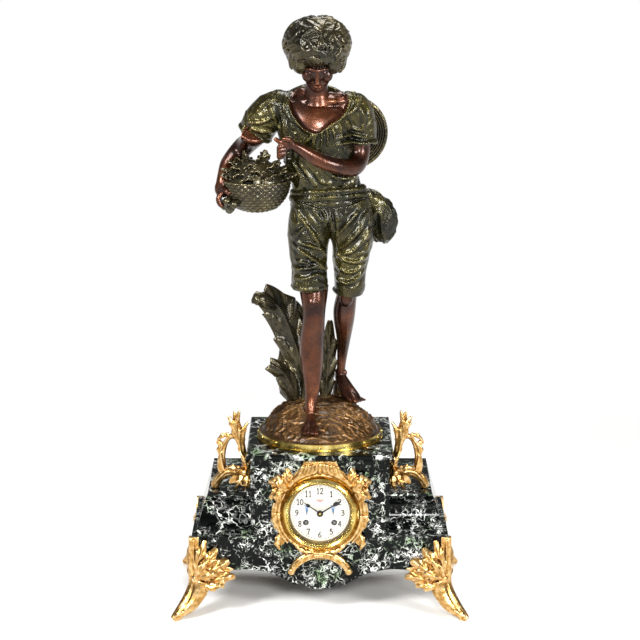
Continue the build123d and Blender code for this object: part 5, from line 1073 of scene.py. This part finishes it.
# Basket and its fill
# A shallow willow basket held on the hip, woven round upright stakes, heaped with vine leaves
# and grapes.
basket = sculpt("basket_casting", copy_of("basket"), voxel=0.0010)
at, facing = points_of(basket)
centre = on_boy(-0.146, -0.036, 0.6)
around = np.arctan2((at[:, 1] - centre.y) / 0.065, (at[:, 0] - centre.x) / 0.074)
rows = (at[:, 2] - centre.z) / 0.0042
weave = np.sin(around * 26 + np.pi * np.floor(rows)) * 0.5 + np.abs(np.sin(rows * np.pi)) * 0.9
outer = np.clip(-facing[:, 2] * 2 + 1.2, 0.0, 1.0)
push_out(basket, weave * 0.0008 * outer)
dress(basket, "basket", hair_patina, reach=0.001)

shape = copy_of("basket_fruit")
for k in range(30):
    turn = k * golden_angle
    out = 0.08 + 1.02 * ((k + 0.5) / 30) ** 0.55
    root = centre + Vector((cos(turn) * out * 0.036, sin(turn) * out * 0.031, 0.018 + 0.018 * (1 - out)))
    lean = Vector((cos(turn + 0.5) * out, sin(turn + 0.5) * out, 0.75 - 0.35 * out)).normalized()
    size = rng.uniform(0.022, 0.030)
    up_side = (Vector((0, 0, 1)) - lean * lean.z).normalized()
    up_side += Vector((rng.uniform(-0.5, 0.5), rng.uniform(-0.5, 0.5), 0))
    add_leaf(shape, [root, root + lean * size * 0.5 + Vector((0, 0, 0.003)), root + lean * size],
             [size * 0.24, size * 0.50, size * 0.06], up_side, thick=0.0022, lobes=3, cup=0.3, depth=0.4)
for k in range(34):
    turn, out = rng.uniform(0, 2 * pi), rng.uniform(0.2, 1.0)
    grape = centre + Vector((cos(turn) * out * 0.041, sin(turn) * out * 0.035, 0.021 + 0.014 * (1 - out)))
    add_ball(shape, grape, [rng.uniform(0.0035, 0.0052)] * 3)
for place in ((-0.212, -0.060, 0.573), (-0.204, -0.075, 0.566), (-0.219, -0.048, 0.566),
              (-0.208, -0.060, 0.560), (-0.196, -0.086, 0.576), (-0.213, -0.072, 0.581)):
    add_ball(shape, on_boy(*place), [0.0062] * 3)
dress(sculpt("vine_casting", shape, voxel=0.0010, smoothing=1), "basket_fruit", hair_patina,
      reach=0.0013)

# Hat
# A straw hat that hangs on the back: plaited straw sewn in a spiral, so its brim shows rings
# about 3 mm apart. No cord shows in the photograph, so none is made.
hat = sculpt("hat_casting", copy_of("hat"), voxel=0.0009)
at = points_of(hat)[0]
hat_axis = on_boy(0.072, 0.0, 0.723)
rings = np.hypot(at[:, 0] - hat_axis.x, at[:, 2] - hat_axis.z) / 0.0032
push_out(hat, np.abs(np.sin(rings * np.pi)) * 0.0011)
dress(hat, "hat", hair_patina, reach=0.001)

# Bag
# A cloth bag tied to the sash, hanging in soft flat folds behind the hip. It is cast and has the
# patina of the clothes.
bag = sculpt("bag_casting", copy_of("bag"), voxel=0.0010, smoothing=3)
at = points_of(bag)[0]
push_out(bag, (crumple(at, 0.018, seed=31, stretch=(1.0, 1.0, 0.45)) - 0.3) * 0.0030)
dress(bag, "bag", cloth_patina, reach=0.0044, rounds=30)

# Big leaf
# Acanthus leaves that grow from the mound behind the forward leg and hold the figure up, their
# lobes deeply cut and curled at the tips.
shape = bmesh.new()
for line, widths, face, lobes in (
    ([(-26, 30, 290), (-28, 34, 340), (-42, 36, 390), (-60, 34, 432), (-84, 24, 456)], (14, 24, 32, 30, 15),
     (0.25, -1, 0.1), 4),
    ([(-66, 30, 436), (-80, 22, 452), (-92, 14, 454), (-96, 12, 444)], (14, 17, 12, 4), (-0.2, -0.6, 1), 2),
    ([(-34, 22, 288), (-44, 18, 318), (-56, 16, 340), (-74, 12, 352)], (12, 17, 16, 10), (0.2, -1, 0.35), 2),
    ([(8, 36, 290), (10, 38, 330), (13, 40, 370), (15, 40, 412)], (10, 17, 16, 3), (0.1, -1, 0.05), 4),
    ([(-44, 26, 290), (-56, 30, 312), (-60, 40, 340), (-56, 48, 372)], (10, 16, 16, 4), (-0.7, -0.4, 0.3), 4),
    ([(-20, 44, 290), (-16, 52, 350), (-24, 58, 400), (-40, 56, 436)], (14, 24, 24, 5), (0.1, 1, 0.1), 5),
):
    add_leaf(shape, mirrored(line), metres(widths), face, thick=0.0046, lobes=lobes, cup=0.24, depth=0.28)
add_tube(shape, [in_mm(-20, 32, 286), in_mm(-16, 36, 340), in_mm(-18, 40, 400)], [0.016, 0.012, 0.007])
dress(sculpt("acanthus_casting", shape, voxel=0.0011, smoothing=3), "big_leaf", hair_patina,
      reach=0.0018)

bpy.context.scene.view_settings.view_transform = "Standard"
